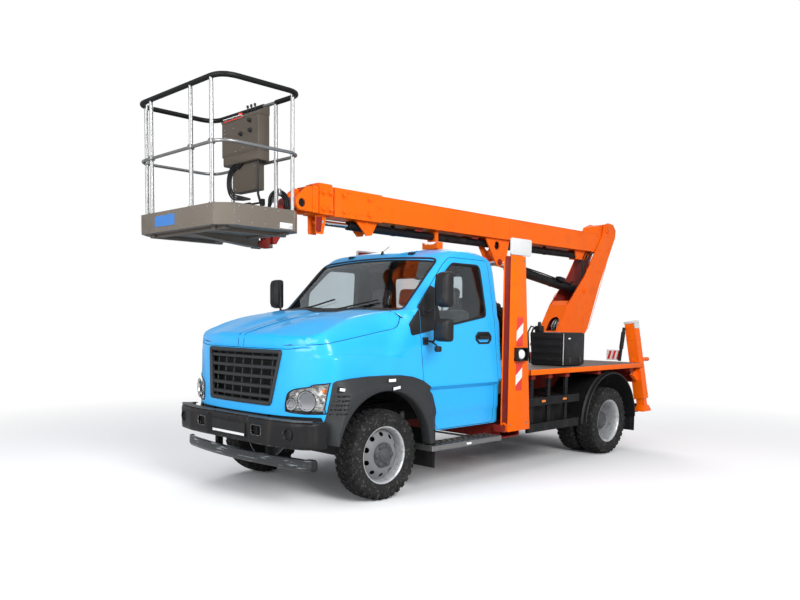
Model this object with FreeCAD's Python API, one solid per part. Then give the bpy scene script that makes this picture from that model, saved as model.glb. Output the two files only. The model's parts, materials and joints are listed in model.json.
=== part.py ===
"""Bonneted aerial platform truck: two-axle chassis, telescopic boom, basket and four outriggers.

Frame: +X forward, +Y left, +Z up, millimetres.  The ground is z = 0 and the origin lies on it,
under the middle of the vehicle's bounding box.
"""
import FreeCAD, Part
import math
import os

V = FreeCAD.Vector
X_AXIS = V(1, 0, 0)
Y_AXIS = V(0, 1, 0)
Z_AXIS = V(0, 0, 1)

# ---------------------------------------------------------------- driving dimensions
FRONT_AXLE_X = 2000
WHEELBASE = 3770
REAR_AXLE_X = FRONT_AXLE_X - WHEELBASE
TYRE_RADIUS = 410
TYRE_WIDTH = 244
RIM_RADIUS = 250
RIM_WALL = 12
FRONT_WHEEL_Y = 870
REAR_WHEEL_Y = 845
DUAL_SPACING = 280
KINGPIN_Y = 790
KINGPIN_RADIUS = 16
VENT_COUNT = 10
VENT_RADIUS = 22
SPRING_Y0, SPRING_Y1 = 365, 425
MUDGUARD_RADIUS = 610

FRAME_HALF = 430
FRAME_Z0, FRAME_Z1 = 600, 800
FRAME_WEB = 8
FRAME_FRONT_X, FRAME_REAR_X = 2880, -2480
GEARBOX_REAR_X = 1240
SUBFRAME_Z1 = 1000
RAIL_FRONT_X, RAIL_REAR_X = 350, -2620
RAIL_Y0, RAIL_Y1 = 300, 420
RAIL_WALL = 8
REAR_BEAM_Z0 = 850
REAR_BEAM_HALF = 1010
REAR_BUMPER_HALF = 1035
CROSS_BEAM_X = (-2300, -1500, -800, -450, -120)

CAB_REAR_X = 370
CAB_HALF = 1030
CAB_WALL = 50
BELT_Z = 1550
ROOF_Z = 2360
DOOR_HINGE_X, DOOR_HINGE_Y = 1586, 1032
DOOR_HINGE_Z = (1120, 1400)
BONNET_HINGE_X, BONNET_HINGE_Z = 1828, 1650
NOSE_FRONT_X = 2905
ARCH_X, ARCH_Z = 2075, 430
ARCH_RADIUS = 570

DECK_FRONT_X, DECK_REAR_X = 10, -2490
DECK_HALF = 1150
DECK_Z0, DECK_Z1 = 1050, 1110
DECK_SHEET = 8
SPARE_X, SPARE_Y, SPARE_BOTTOM_Z = 225, 560, 1080
CABINET_TOP_Z = 1500

LEG_Y0, LEG_Y1 = 1070, 1165
LEG_PIN_Y, LEG_PIN_Z = 1110, 530
LEG_TOP_Z = 2290
LEG_PIN_RADIUS = 18
LEG_BEAM_X0, LEG_BEAM_X1 = 40, 400
LEG_BEAM_Z0, LEG_BEAM_Z1 = 400, 545
LEG_BEAM_HALF = 1040

JACK_X = -2565
JACK_TILT = 10
JACK_TOP_Z = 1640
JACK_TOP_Y = 935
JACK_LENGTH = 1020
JACK_REACH = 1150
JACK_HALF_X, JACK_HALF_Y = 60, 70

SLEW_X = -2200
SLEW_Z = 1300
ELBOW_X, ELBOW_Z = -3270, 2960
BOOM_HALF = 125
BOOM_Z0, BOOM_Z1 = 2620, 2880
BOOM_REAR_X, BOOM_FRONT_X = -3180, 1880
CYL_BASE_X, CYL_BASE_Z = -2680, 2070
CYL_EYE_X, CYL_EYE_Z = -815, 2345
LIFT_BARREL_LENGTH = 1600
LIFT_BARREL_RADIUS = 60
LIFT_BORE_RADIUS = 42
LIFT_ROD_RADIUS = 34
CHEEK_Y0, CHEEK_Y1 = 133, 150
PORT_Y, PORT_Z, PORT_RADIUS = 34, 1610, 84
TUBE_Z = 2557
TUBE_RADIUS = 42
TUBE_BORE_RADIUS = 31
EXTENSION_ROD_RADIUS = 26
ROD_EYE_X = 1975
ROD_PIN_RADIUS = 14
HEAD_X, HEAD_Z = 2285, 2695

BASKET_PIVOT_X = 2590
BASKET_X0, BASKET_X1 = 2680, 3500
BASKET_HALF = 700
BASKET_Z0, BASKET_Z1 = 2345, 2515
BASKET_CORNER = 120
TRAY_WALL = 10
PIVOT_RADIUS = 25
RAIL_Z = 3480
MID_RAIL_Z = 2985
BASKET_POSTS = ((3480, 540), (3480, 234), (3480, -415), (3420, -620), (2760, 620), (2700, 308), (2700, -357),
                (2760, -620))


# ---------------------------------------------------------------- shape helpers
def box(x0, x1, y0, y1, z0, z1):
    return Part.makeBox(x1 - x0, y1 - y0, z1 - z0, V(x0, y0, z0))


def rod(start, end, radius):
    start, end = V(*start), V(*end)
    return Part.makeCylinder(radius, (end - start).Length, start, end - start)


def pipe(start, end, outer, inner):
    return rod(start, end, outer).cut(rod(start, end, inner))


def prism(points, direction):
    wire = Part.makePolygon(points + [points[0]])
    return Part.Face(wire).extrude(direction)


def prism_xz(points, y0, y1):
    return prism([V(x, y0, z) for x, z in points], V(0, y1 - y0, 0))


def prism_yz(points, x0, x1):
    return prism([V(x0, y, z) for y, z in points], V(x1 - x0, 0, 0))


def prism_xy(points, z0, z1):
    return prism([V(x, y, z0) for x, y in points], V(0, 0, z1 - z0))


def join(*shapes):
    result = shapes[0]
    for shape in shapes[1:]:
        result = result.fuse(shape)
    return result.removeSplitter()


def mirrored(shape):
    return shape.mirror(V(0, 0, 0), Y_AXIS)


def revolve_y(points, x, y, z):
    """Solid of revolution about the Y-parallel axis through (x, z); points are (y, radius)."""
    outline = [V(x, y + dy, z + radius) for dy, radius in points]
    face = Part.Face(Part.makePolygon(outline + [outline[0]]))
    return face.revolve(V(x, y, z), Y_AXIS, 360)


def save(name, shape):
    shape.exportStep("parts/" + name + ".step")
    solids = shape.Solids
    span = shape.BoundBox
    print(
        "%-24s solids %d valid %s x %.0f..%.0f y %.0f..%.0f z %.0f..%.0f"
        % (name, len(solids), shape.isValid(), span.XMin, span.XMax, span.YMin, span.YMax,
           span.ZMin, span.ZMax)
    )


def save_pair(name, left_shape):
    save(name + "_left", left_shape)
    save(name + "_right", mirrored(left_shape))


# ---------------------------------------------------------------- chassis
def chassis_frame():
    height = FRAME_Z1 - FRAME_Z0
    rail = box(FRAME_REAR_X, FRAME_FRONT_X, FRAME_HALF - 65, FRAME_HALF, FRAME_Z0, FRAME_Z1)
    hollow = box(FRAME_REAR_X, FRAME_FRONT_X, FRAME_HALF - 65, FRAME_HALF - FRAME_WEB,
                 FRAME_Z0 + FRAME_WEB, FRAME_Z0 + height - FRAME_WEB)
    rail = rail.cut(hollow)
    members = [rail, mirrored(rail)]
    for x in (2800, 1130, -300, -1300, -2440):
        members.append(box(x - 40, x + 40, -FRAME_HALF + FRAME_WEB, FRAME_HALF - FRAME_WEB,
                           FRAME_Z0 + 40, FRAME_Z1 - 40))
    return join(*members)


def subframe():
    """Rails of the platform on the chassis, with the box beams that carry the four outriggers."""
    rail = box(RAIL_REAR_X, RAIL_FRONT_X, RAIL_Y0, RAIL_Y1, FRAME_Z1, SUBFRAME_Z1)
    hollow = box(RAIL_REAR_X, RAIL_FRONT_X, RAIL_Y0 + RAIL_WALL, RAIL_Y1 - RAIL_WALL,
                 FRAME_Z1 + RAIL_WALL, SUBFRAME_Z1 - RAIL_WALL)
    rail_space = Part.makeCompound([rail, mirrored(rail)])
    rail = rail.cut(hollow)
    front_beam = box(LEG_BEAM_X0, LEG_BEAM_X1, -LEG_BEAM_HALF, LEG_BEAM_HALF, LEG_BEAM_Z0, LEG_BEAM_Z1)
    front_beam = front_beam.cut(box(LEG_BEAM_X0 + 20, LEG_BEAM_X1 - 20, -LEG_BEAM_HALF - 10,
                                    LEG_BEAM_HALF + 10, LEG_BEAM_Z0 + 15, LEG_BEAM_Z1 - 15))
    lug_front_x, lug_rear_x = LEG_BEAM_X1 + 38, LEG_BEAM_X0 - 38
    lug_bottom, lug_width = LEG_PIN_Z - 50, 16
    lug_front = box(lug_front_x - lug_width, lug_front_x, 1000, LEG_PIN_Y + 30, lug_bottom, LEG_PIN_Z + 18)
    lug_arm = box(LEG_BEAM_X1 - 5, lug_front_x, 1000, LEG_BEAM_HALF, lug_bottom, LEG_BEAM_Z1)
    lug_rear = box(lug_rear_x, lug_rear_x + lug_width, 1000, LEG_PIN_Y + 30, lug_bottom, LEG_PIN_Z + 40)
    lug_rear_arm = box(lug_rear_x, LEG_BEAM_X0 + 5, 1000, LEG_BEAM_HALF, lug_bottom, LEG_BEAM_Z1)
    pin = rod((lug_rear_x, LEG_PIN_Y, LEG_PIN_Z), (lug_front_x, LEG_PIN_Y, LEG_PIN_Z), LEG_PIN_RADIUS)
    lugs = join(lug_front, lug_arm, lug_rear, lug_rear_arm, pin)
    hanger_top = SUBFRAME_Z1 - 40
    hanger = join(box(60, 300, FRAME_HALF, FRAME_HALF + 20, LEG_BEAM_Z1, hanger_top),
                  box(60, 300, RAIL_Y1, FRAME_HALF + 2, FRAME_Z1, hanger_top))
    solids = [rail, mirrored(rail), join(front_beam, lugs, mirrored(lugs)), hanger, mirrored(hanger)]
    beam_front_x = RAIL_REAR_X + 110
    rear_beam = box(RAIL_REAR_X, beam_front_x, -REAR_BEAM_HALF, REAR_BEAM_HALF, REAR_BEAM_Z0, SUBFRAME_Z1)
    rear_beam = rear_beam.cut(box(RAIL_REAR_X + RAIL_WALL, beam_front_x - RAIL_WALL, -REAR_BEAM_HALF - 10,
                                  REAR_BEAM_HALF + 10, REAR_BEAM_Z0 + RAIL_WALL, SUBFRAME_Z1 - RAIL_WALL))
    jack = jack_tube()
    rear_beam = rear_beam.cut(jack).cut(mirrored(jack)).cut(rail_space)
    solids += rear_beam.Solids
    for x in (-2480, -1200, -300, RAIL_FRONT_X - 40):
        solids.append(box(x - 40, x + 40, -RAIL_Y0, RAIL_Y0, REAR_BEAM_Z0, SUBFRAME_Z1))
    for x in CROSS_BEAM_X:
        solids.append(box(x - 35, x + 35, -1100, 1100, SUBFRAME_Z1, DECK_Z0))
    shelf = box(SPARE_X - 95, SPARE_X + 95, RAIL_Y0, 760, SPARE_BOTTOM_Z - 14, SPARE_BOTTOM_Z)
    shelf_block = box(SPARE_X - 75, SPARE_X + 75, RAIL_Y0 + 20, RAIL_Y1, SUBFRAME_Z1, SPARE_BOTTOM_Z - 14)
    solids.append(join(shelf, shelf_block))
    return Part.makeCompound(solids)


def front_axle():
    beam = box(FRONT_AXLE_X - 45, FRONT_AXLE_X + 45, -650, 650, 330, 420)
    parts = [beam]
    for side in (1, -1):
        y = KINGPIN_Y * side
        parts.append(pipe((FRONT_AXLE_X, y, 345), (FRONT_AXLE_X, y, 475), 36, KINGPIN_RADIUS + 1.5))
        inner_y, outer_y = sorted((640 * side, y - 22 * side))
        arm = box(FRONT_AXLE_X - 28, FRONT_AXLE_X + 28, inner_y, outer_y, 360, 420)
        parts.append(arm)
        spring = prism_xz([(1400, 590), (1400, 560), (1750, 480), (2250, 480), (2600, 560), (2600, 590),
                           (2250, 520), (1750, 520)], SPRING_Y0, SPRING_Y1)
        seat = box(FRONT_AXLE_X - 60, FRONT_AXLE_X + 60, SPRING_Y0, SPRING_Y1, 420, 482)
        pack = join(spring, seat)
        parts.append(pack if side > 0 else mirrored(pack))
    return join(*parts)


def knuckle_left():
    x = FRONT_AXLE_X
    upper = rod((x, KINGPIN_Y, 482), (x, KINGPIN_Y, 506), 44)
    lower = rod((x, KINGPIN_Y, 314), (x, KINGPIN_Y, 338), 44)
    web = box(x - 40, x + 40, KINGPIN_Y + 42, KINGPIN_Y + 62, 314, 506)
    upper_arm = box(x - 40, x + 40, KINGPIN_Y, KINGPIN_Y + 50, 482, 506)
    lower_arm = box(x - 40, x + 40, KINGPIN_Y, KINGPIN_Y + 50, 314, 338)
    spindle = rod((x, KINGPIN_Y + 55, TYRE_RADIUS), (x, 985, TYRE_RADIUS), 34)
    steering_arm = box(x - 200, x - 30, KINGPIN_Y - 30, KINGPIN_Y + 10, 484, 504)
    kingpin = rod((x, KINGPIN_Y, 330), (x, KINGPIN_Y, 490), KINGPIN_RADIUS)
    return join(upper, lower, web, upper_arm, lower_arm, spindle, steering_arm, kingpin)


def rear_axle():
    z = TYRE_RADIUS
    x = REAR_AXLE_X
    tube = rod((x, -570, z), (x, 570, z), 62)
    shaft = rod((x, -985, z), (x, 985, z), 44)
    differential = join(rod((x, -150, z), (x, 150, z), 165), rod((x, 0, z), (x + 300, 0, z), 90))
    parts = [tube, shaft, differential]
    bearing = (-60, 0, 600)
    parts.append(rod((x + 300, 0, z), bearing, 36))
    parts.append(rod(bearing, (GEARBOX_REAR_X, 0, 600), 36))
    parts.append(rod((-85, 0, 600), (-35, 0, 600), 44))
    for side in (1, -1):
        spring = prism_xz([(x - 640, 595), (x - 640, 565), (x - 250, 490), (x + 250, 490), (x + 640, 565),
                           (x + 640, 595), (x + 250, 545), (x - 250, 545)], SPRING_Y0, SPRING_Y1)
        seat = box(x - 70, x + 70, SPRING_Y0, SPRING_Y1, z + 40, 492)
        pack = join(spring, seat)
        parts.append(pack if side > 0 else mirrored(pack))
    return join(*parts)


def tyre_solid(x, y):
    half = TYRE_WIDTH / 2
    outline = [(-half + 22, RIM_RADIUS + 1), (-half + 4, RIM_RADIUS + 40), (-half, 335), (-half + 10, 385),
               (-half + 26, TYRE_RADIUS), (half - 26, TYRE_RADIUS), (half - 10, 385), (half, 335),
               (half - 4, RIM_RADIUS + 40), (half - 22, RIM_RADIUS + 1)]
    return revolve_y(outline, x, y, TYRE_RADIUS)


def cut_vents(wheel, x, y0, y1, pitch_radius):
    """Ring of round vent holes through a wheel disc, from y0 to y1."""
    for i in range(VENT_COUNT):
        angle = 2 * math.pi * i / VENT_COUNT
        vent_x, vent_z = x + pitch_radius * math.cos(angle), TYRE_RADIUS + pitch_radius * math.sin(angle)
        wheel = wheel.cut(rod((vent_x, y0, vent_z), (vent_x, y1, vent_z), VENT_RADIUS))
    return wheel


def rim_front():
    """Pressed steel wheel with a dished disc, ten vent holes and a central hub."""
    x, y, z = FRONT_AXLE_X, FRONT_WHEEL_Y, TYRE_RADIUS
    inner = RIM_RADIUS - RIM_WALL
    barrel = revolve_y([(-100, inner), (-100, RIM_RADIUS), (100, RIM_RADIUS), (100, inner)], x, y, z)
    disc = revolve_y([(20, inner + 2), (36, inner + 2), (82, 150), (82, 36), (66, 36), (66, 146)], x, y, z)
    hub = revolve_y([(60, 36), (60, 80), (128, 80), (128, 0), (118, 0), (118, 36)], x, y, z)
    wheel = join(barrel, disc, hub)
    return cut_vents(wheel, x, y, y + 110, 190)


def rim_rear():
    """Twin wheels bolted back to back on one hub."""
    x, y, z = REAR_AXLE_X, REAR_WHEEL_Y, TYRE_RADIUS
    inner = RIM_RADIUS - RIM_WALL
    parts = []
    for side in (-1, 1):
        centre = side * DUAL_SPACING / 2
        outline = [(centre - 100, inner), (centre - 100, RIM_RADIUS), (centre + 100, RIM_RADIUS),
                   (centre + 100, inner)]
        parts.append(revolve_y(outline, x, y, z))
        edge = centre - side * 60
        near = side * 14
        parts.append(revolve_y([(edge - 10, inner + 2), (edge + 10, inner + 2), (near + 12, 160),
                                (near + 12, 46), (near - 12, 46), (near - 12, 160)], x, y, z))
    parts.append(revolve_y([(-30, 46), (-30, 110), (150, 110), (165, 95), (165, 0), (145, 0), (145, 46)],
                           x, y, z))
    wheel = join(*parts)
    return cut_vents(wheel, x, y - 150, y + 150, 185)


def engine_block():
    engine = box(1950, 2560, -270, 270, 560, 1180)
    gearbox = box(GEARBOX_REAR_X, 1950, -180, 180, 560, 800)
    return join(engine, gearbox)


# ---------------------------------------------------------------- cab
DOOR_OUTLINE = [(DOOR_HINGE_X, 1055), (DOOR_HINGE_X, 1740), (1185, 2150), (1080, 2232), (520, 2232),
                (482, 1800), (482, 585), (1330, 585), (1425, 760), (1500, 900), (1556, 1000)]
DOOR_OPENING = [(1594, 1050), (1594, 1746), (1190, 2158), (1084, 2240), (496, 2240), (470, 1800),
                (470, 577), (1336, 577), (1433, 756), (1508, 896), (1564, 995)]
DOOR_WINDOW = [(1500, 1535), (1500, 1745), (1130, 2120), (1060, 2175), (625, 2175), (600, 1680)]
CAB_PROFILE = [(CAB_REAR_X, 560), (CAB_REAR_X, 1800), (455, 2290), (520, 2340), (800, ROOF_Z),
               (1060, 2335), (1165, 2270), (1740, 1665), (1790, 1640), (1790, 1000), (1640, 560)]
CAB_INNER = [(CAB_REAR_X + CAB_WALL, 880), (CAB_REAR_X + CAB_WALL, 1795), (505, 2265), (550, 2295),
             (800, 2310), (1035, 2290), (1125, 2240), (1690, 1640), (1690, 880)]
CAB_SECTION = [(-CAB_HALF, 540), (-CAB_HALF, BELT_Z), (-940, 2260), (-860, 2340), (-700, ROOF_Z + 5),
               (700, ROOF_Z + 5), (860, 2340), (940, 2260), (CAB_HALF, BELT_Z), (CAB_HALF, 540)]
CAB_INNER_SECTION = [(-CAB_HALF + 60, 540), (-CAB_HALF + 60, BELT_Z - 5), (-885, 2235), (-840, 2290),
                     (-700, 2310), (700, 2310), (840, 2290), (885, 2235), (CAB_HALF - 60, BELT_Z - 5),
                     (CAB_HALF - 60, 540)]
NOSE_PLAN = [(1700, CAB_HALF), (2650, 1015), (2800, 860), (2862, 600), (2900, 300), (NOSE_FRONT_X, 0)]
NOSE_PROFILE = [(1700, 560), (1700, 1670), (2300, 1605), (2780, 1520), (2880, 1440), (NOSE_FRONT_X, 1380),
                (NOSE_FRONT_X, 790), (2800, 790), (2640, 640), (2640, 560)]
NOSE_SECTION = [(CAB_HALF, 540), (CAB_HALF, 1330), (960, 1450), (800, 1570), (500, 1640), (0, 1672)]
SHUT_LINE = [(1815, 1548), (2960, 1378)]
WINDSCREEN = [(-850, 1705), (-805, 2215), (805, 2215), (850, 1705)]
REAR_WINDOW = [(-520, 1720), (-520, 2110), (520, 2110), (520, 1720)]
GRILLE_HOLE = [(-560, 1352), (560, 1352), (485, 872), (-485, 872)]


def both_sides(points):
    return points + [(x, -y) for x, y in reversed(points) if y != 0]


def nose_solid(inset, drop):
    """Front bodywork in front of the scuttle, shrunk by an inset at the sides and a drop at the top."""
    plan = both_sides([(x - (inset if x > 2600 else 0), max(y - inset, 0)) for x, y in NOSE_PLAN])
    section = [(max(y - inset, 0), z - drop) for y, z in NOSE_SECTION]
    section = section + [(-y, z) for y, z in reversed(section) if y > 0]
    profile = [(x - (inset if x > 2600 else 0), z - drop) for x, z in NOSE_PROFILE]
    body = prism_xy(plan, 400, 1800)
    body = body.common(prism_yz(section, 1600, 3000))
    return body.common(prism_xz(profile, -1200, 1200))


def bonnet_region(gap):
    (x0, z0), (x1, z1) = SHUT_LINE
    return prism_xz([(x0 + gap, z0 + gap), (x1 + gap, z1 + gap), (x1 + gap, 1800), (x0 + gap, 1800)],
                    -1100, 1100)


def bonnet():
    lid = nose_solid(0, 0).common(bonnet_region(4))
    hollow = nose_solid(26, 22)
    bead = rod((BONNET_HINGE_X, -700, BONNET_HINGE_Z), (BONNET_HINGE_X, 700, BONNET_HINGE_Z), 9)
    return join(lid.cut(hollow), bead)


def cab_walls():
    outer = prism_xz(CAB_PROFILE, -1100, 1100).common(prism_yz(CAB_SECTION, 300, 1900))
    inner = prism_xz(CAB_INNER, -1100, 1100).common(prism_yz(CAB_INNER_SECTION, 300, 1900))
    return outer, inner


def arch_cut():
    return rod((ARCH_X, -1200, ARCH_Z), (ARCH_X, 1200, ARCH_Z), ARCH_RADIUS)


def cab_shell():
    outer, inner = cab_walls()
    shell = outer.cut(inner)
    shell = shell.cut(box(300, 1900, -CAB_HALF + 60, CAB_HALF - 60, 500, 830))
    nose = nose_solid(0, 0).cut(bonnet_region(0))
    bay = box(1790, 2830, -960, 960, 400, 1700).common(nose_solid(50, -200).fuse(nose_solid(50, 0)))
    nose = nose.cut(bay).cut(box(1790, FRAME_FRONT_X + 2, -900, 900, 400, FRAME_Z1 + 2))
    shell = join(shell, nose.cut(outer))
    shell = shell.cut(prism_yz(WINDSCREEN, 1080, 1900))
    shell = shell.cut(prism_yz(REAR_WINDOW, 300, 520))
    door_hole = prism_xz(DOOR_OPENING, 800, 1100)
    shell = shell.cut(door_hole).cut(mirrored(door_hole))
    shell = shell.cut(arch_cut())
    liner = rod((ARCH_X, 500, ARCH_Z), (ARCH_X, 1025, ARCH_Z), ARCH_RADIUS + 20)
    liner = liner.cut(arch_cut()).common(box(1450, 1795, 400, 1030, 560, 1040))
    shell = join(shell, liner, mirrored(liner))
    return shell.cut(prism_yz(GRILLE_HOLE, 2750, 3000))


def door_left():
    outer, inner = cab_walls()
    panel = outer.cut(inner).common(prism_xz(DOOR_OUTLINE, 780, 1100))
    panel = panel.cut(box(300, 1800, 700, 970, 500, 900))
    panel = panel.cut(prism_xz(DOOR_WINDOW, 780, 1100))
    for z in DOOR_HINGE_Z:
        panel = panel.fuse(rod((DOOR_HINGE_X, DOOR_HINGE_Y, z), (DOOR_HINGE_X, DOOR_HINGE_Y, z + 80), 6))
    return panel


def cab_glass():
    pane = prism_xz([(1690, 1655), (1105, 2262), (1115, 2270), (1700, 1663)], -900, 900)
    front = pane.common(prism_yz(WINDSCREEN, 1080, 1900))
    rear_pane = prism_xz([(395, 1720), (403, 1720), (403, 1797), (452, 2110), (444, 2110), (395, 1797)],
                         -520, 520)
    return Part.makeCompound([front, rear_pane])


def grille():
    frame = prism_yz(GRILLE_HOLE, 2826, 2858)
    opening = prism_yz([(-520, 1310), (520, 1310), (452, 910), (-452, 910)], 2800, 2900)
    parts = [frame.cut(opening)]
    for i in range(5):
        z = 960 + i * 80
        half = 455 + 0.16 * (z - 910)
        parts.append(box(2830, 2858, -half, half, z - 14, z + 14))
    for y in (-360, -180, 0, 180, 360):
        parts.append(box(2832, 2848, y - 6, y + 6, 890, 1320))
    return join(*parts)


def front_bumper():
    plan = [(2715, 1030), (2860, 1030), (2960, 900), (2985, 700), (3010, 420), (3020, 250), (3020, -250),
            (3010, -420), (2985, -700), (2960, -900), (2860, -1030), (2715, -1030), (2715, -1000),
            (2840, -1000), (2925, -880), (2945, -690), (2965, -250), (2965, 250), (2945, 690),
            (2925, 880), (2840, 1000), (2715, 1000)]
    bar = prism_xy(plan, 545, 785)
    for side in (1, -1):
        tow = box(2900, 3060, min(side * 360, side * 500), max(side * 360, side * 500), 630, 730)
        lamp = rod((2880, side * 820, 665), (3060, side * 820, 665), 52)
        bar = bar.cut(tow).cut(lamp)
    arm = box(FRAME_FRONT_X, 2970, 370, 425, 620, 760)
    return join(bar, arm, mirrored(arm)).cut(box(2990, 3060, -320, 320, 600, 760))


def lower_bar():
    """Curved underrun bar below the bumper on two hangers from the frame."""
    plan = both_sides([(2790, 985), (2860, 980), (2915, 700), (2945, 350), (2952, 0)])
    inner = both_sides([(2790, 935), (2830, 930), (2875, 700), (2905, 350), (2912, 0)])
    bar = prism_xy(plan, 362, 462).cut(prism_xy([(2700, 0)] + inner, 350, 470))
    bar = bar.cut(box(2700, 2788, -1000, 1000, 300, 500))
    hanger = box(2800, 2870, 380, 420, 375, FRAME_Z0)
    brace = box(2800, 2905, 380, 420, 375, 450)
    side = join(hanger, brace)
    return join(bar, side, mirrored(side))


def flare_left():
    ring = rod((ARCH_X, 1031, ARCH_Z), (ARCH_X, 1095, ARCH_Z), 690)
    ring = ring.common(box(1455, 2712, 1000, 1200, 440, 1200))
    ring = ring.cut(rod((ARCH_X, 1000, ARCH_Z), (ARCH_X, 1200, ARCH_Z), ARCH_RADIUS))
    front = box(2640, 2712, 1031, 1090, 500, 800)
    return join(ring, front)


def running_board_left():
    tray = box(460, 1530, 900, 1130, 405, 455).cut(box(475, 1515, 915, 1115, 415, 460))
    bracket = box(700, 760, FRAME_HALF, 920, 440, 455)
    drop = box(700, 760, FRAME_HALF, FRAME_HALF + 15, 440, 700)
    second = join(bracket, drop)
    third = second.copy()
    third.translate(V(500, 0, 0))
    return join(tray, second, third)


def seats():
    parts = []
    for y0, y1 in ((-860, 60), (260, 800)):
        cushion = box(760, 1230, y0, y1, 1000, 1150)
        base = box(800, 1180, y0 + 60, y1 - 60, 880, 1000)
        back = prism_xz([(640, 1120), (560, 1720), (650, 1730), (760, 1150), (760, 1120)], y0, y1)
        parts.append(join(cushion, base, back))
    return Part.makeCompound(parts)


def mirror_left():
    main = box(1455, 1600, 1190, 1330, 1740, 2060)
    lower = box(1455, 1600, 1190, 1340, 1450, 1600)
    tube = rod((1560, 1165, 1420), (1560, 1165, 2040), 12)
    parts = [main, lower, tube]
    for z, door_y in ((1430, 1033), (1700, 1014)):
        parts.append(rod((1560, 1165, z), (1545, door_y, z), 10))
    for z in (1530, 1900):
        parts.append(rod((1560, 1165, z), (1530, 1210, z), 9))
    return join(*parts)


# ---------------------------------------------------------------- platform deck
def deck():
    plate = box(DECK_REAR_X, DECK_FRONT_X, -DECK_HALF, DECK_HALF, DECK_Z0, DECK_Z1)
    hollow = box(DECK_REAR_X + 12, DECK_FRONT_X - 12, -DECK_HALF + 12, DECK_HALF - 12, DECK_Z0 - 1,
                 DECK_Z1 - DECK_SHEET)
    return plate.cut(hollow)


def slew_base():
    pedestal = rod((SLEW_X, 0, DECK_Z1), (SLEW_X, 0, 1200), 330)
    ring = rod((SLEW_X, 0, 1200), (SLEW_X, 0, SLEW_Z - 5), 300)
    footing = box(SLEW_X - 240, SLEW_X + 240, -300, 300, DECK_Z0, DECK_Z1 - DECK_SHEET)
    return Part.makeCompound([join(pedestal, ring), footing])


def deck_cabinet():
    shell = box(-1240, -815, 570, 1020, DECK_Z1, CABINET_TOP_Z)
    return shell.cut(box(-1225, -830, 585, 1030, DECK_Z1 + 15, CABINET_TOP_Z - 15))


def cabinet_door():
    panel = box(-1236, -819, 1025, 1045, DECK_Z1 + 12, 1496)
    return join(panel, rod((-1236, 1035, CABINET_TOP_Z), (-819, 1035, CABINET_TOP_Z), 8))


def side_guard_left():
    parts = []
    for z0, z1 in ((425, 515), (710, 795)):
        parts.append(box(-1030, -10, 1085, 1115, z0, z1))
    for x in CROSS_BEAM_X[2:]:
        parts.append(box(x - 25, x + 25, 1055, 1085, 425, SUBFRAME_Z1))
    return join(*parts)


def mudguard_left():
    x, z, radius = REAR_AXLE_X, TYRE_RADIUS, MUDGUARD_RADIUS
    outer = rod((x, 560, z), (x, 1130, z), radius)
    inner = rod((x, 550, z), (x, 1140, z), radius - 20)
    arch = outer.cut(inner).common(box(x - radius, x + radius, 550, 1140, z + 10, DECK_Z0 - 10))
    flap = box(x - radius - 2, x - radius + 10, 590, 1125, 240, z + 60)
    stay = rod((x, 420, 982), (x, 700, 982), 16)
    return join(arch, flap, stay)


def rear_bumper():
    bar = box(-2640, -2590, -REAR_BUMPER_HALF, REAR_BUMPER_HALF, 450, 560)
    parts = [bar]
    for side in (1, -1):
        y0, y1 = sorted((side * 380, side * 430))
        parts.append(box(RAIL_REAR_X, FRAME_REAR_X, y0, y1, 500, 790))
        y2, y3 = sorted((side * 560, side * 800))
        parts.append(box(-2650, -2625, y2, y3, 700, 830))
        y4, y5 = sorted((side * 420, side * 580))
        parts.append(box(-2640, -2600, y4, y5, 740, 790))
    return join(*parts)


def spare_wheel():
    wheel = tyre_solid(0, 0)
    disc = rod((0, -70, TYRE_RADIUS), (0, 40, TYRE_RADIUS), RIM_RADIUS + 2)
    disc = disc.cut(rod((0, -80, TYRE_RADIUS), (0, -20, TYRE_RADIUS), RIM_RADIUS - 14))
    wheel = join(wheel, disc)
    wheel.rotate(V(0, 0, TYRE_RADIUS), Z_AXIS, 90)
    wheel.translate(V(SPARE_X, SPARE_Y, SPARE_BOTTOM_Z))
    return wheel


def boom_rest():
    """Post behind the cab with a padded saddle just under the stowed boom; it also holds the spare wheel."""
    post = box(290, RAIL_FRONT_X, -60, 60, SUBFRAME_Z1, 2440)
    foot = prism_yz([(60, SUBFRAME_Z1), (290, SUBFRAME_Z1), (60, 1300)], 290, 340)
    saddle = prism_yz([(-110, 2440), (-110, 2495), (-60, 2470), (60, 2470), (110, 2495), (110, 2440)],
                      270, 370)
    base = box(270, 370, -110, 110, 2420, 2441)
    hub_z = SPARE_BOTTOM_Z + TYRE_RADIUS
    arm = box(RAIL_FRONT_X, RAIL_FRONT_X + 12, -60, SPARE_Y + 60, hub_z - 50, hub_z + 50)
    stud = rod((SPARE_X + 20, SPARE_Y, hub_z), (RAIL_FRONT_X, SPARE_Y, hub_z), 30)
    return join(post, foot, mirrored(foot), base, saddle, arm, stud)


def frame_box(x0, x1, y0, y1):
    """Box hung on the outside of a chassis rail by two brackets; y0 is the side next to the rail."""
    parts = [box(x0, x1, min(y0, y1), max(y0, y1), 440, 790)]
    rail_y = math.copysign(FRAME_HALF, y0)
    for x in (x0 + 120, x1 - 180):
        parts.append(box(x, x + 60, min(rail_y, y0), max(rail_y, y0), 640, 780))
    return join(*parts)


def fuel_tank():
    return frame_box(-950, -150, 500, 1000)


def battery_box():
    return frame_box(-900, -200, -500, -1000)


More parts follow.
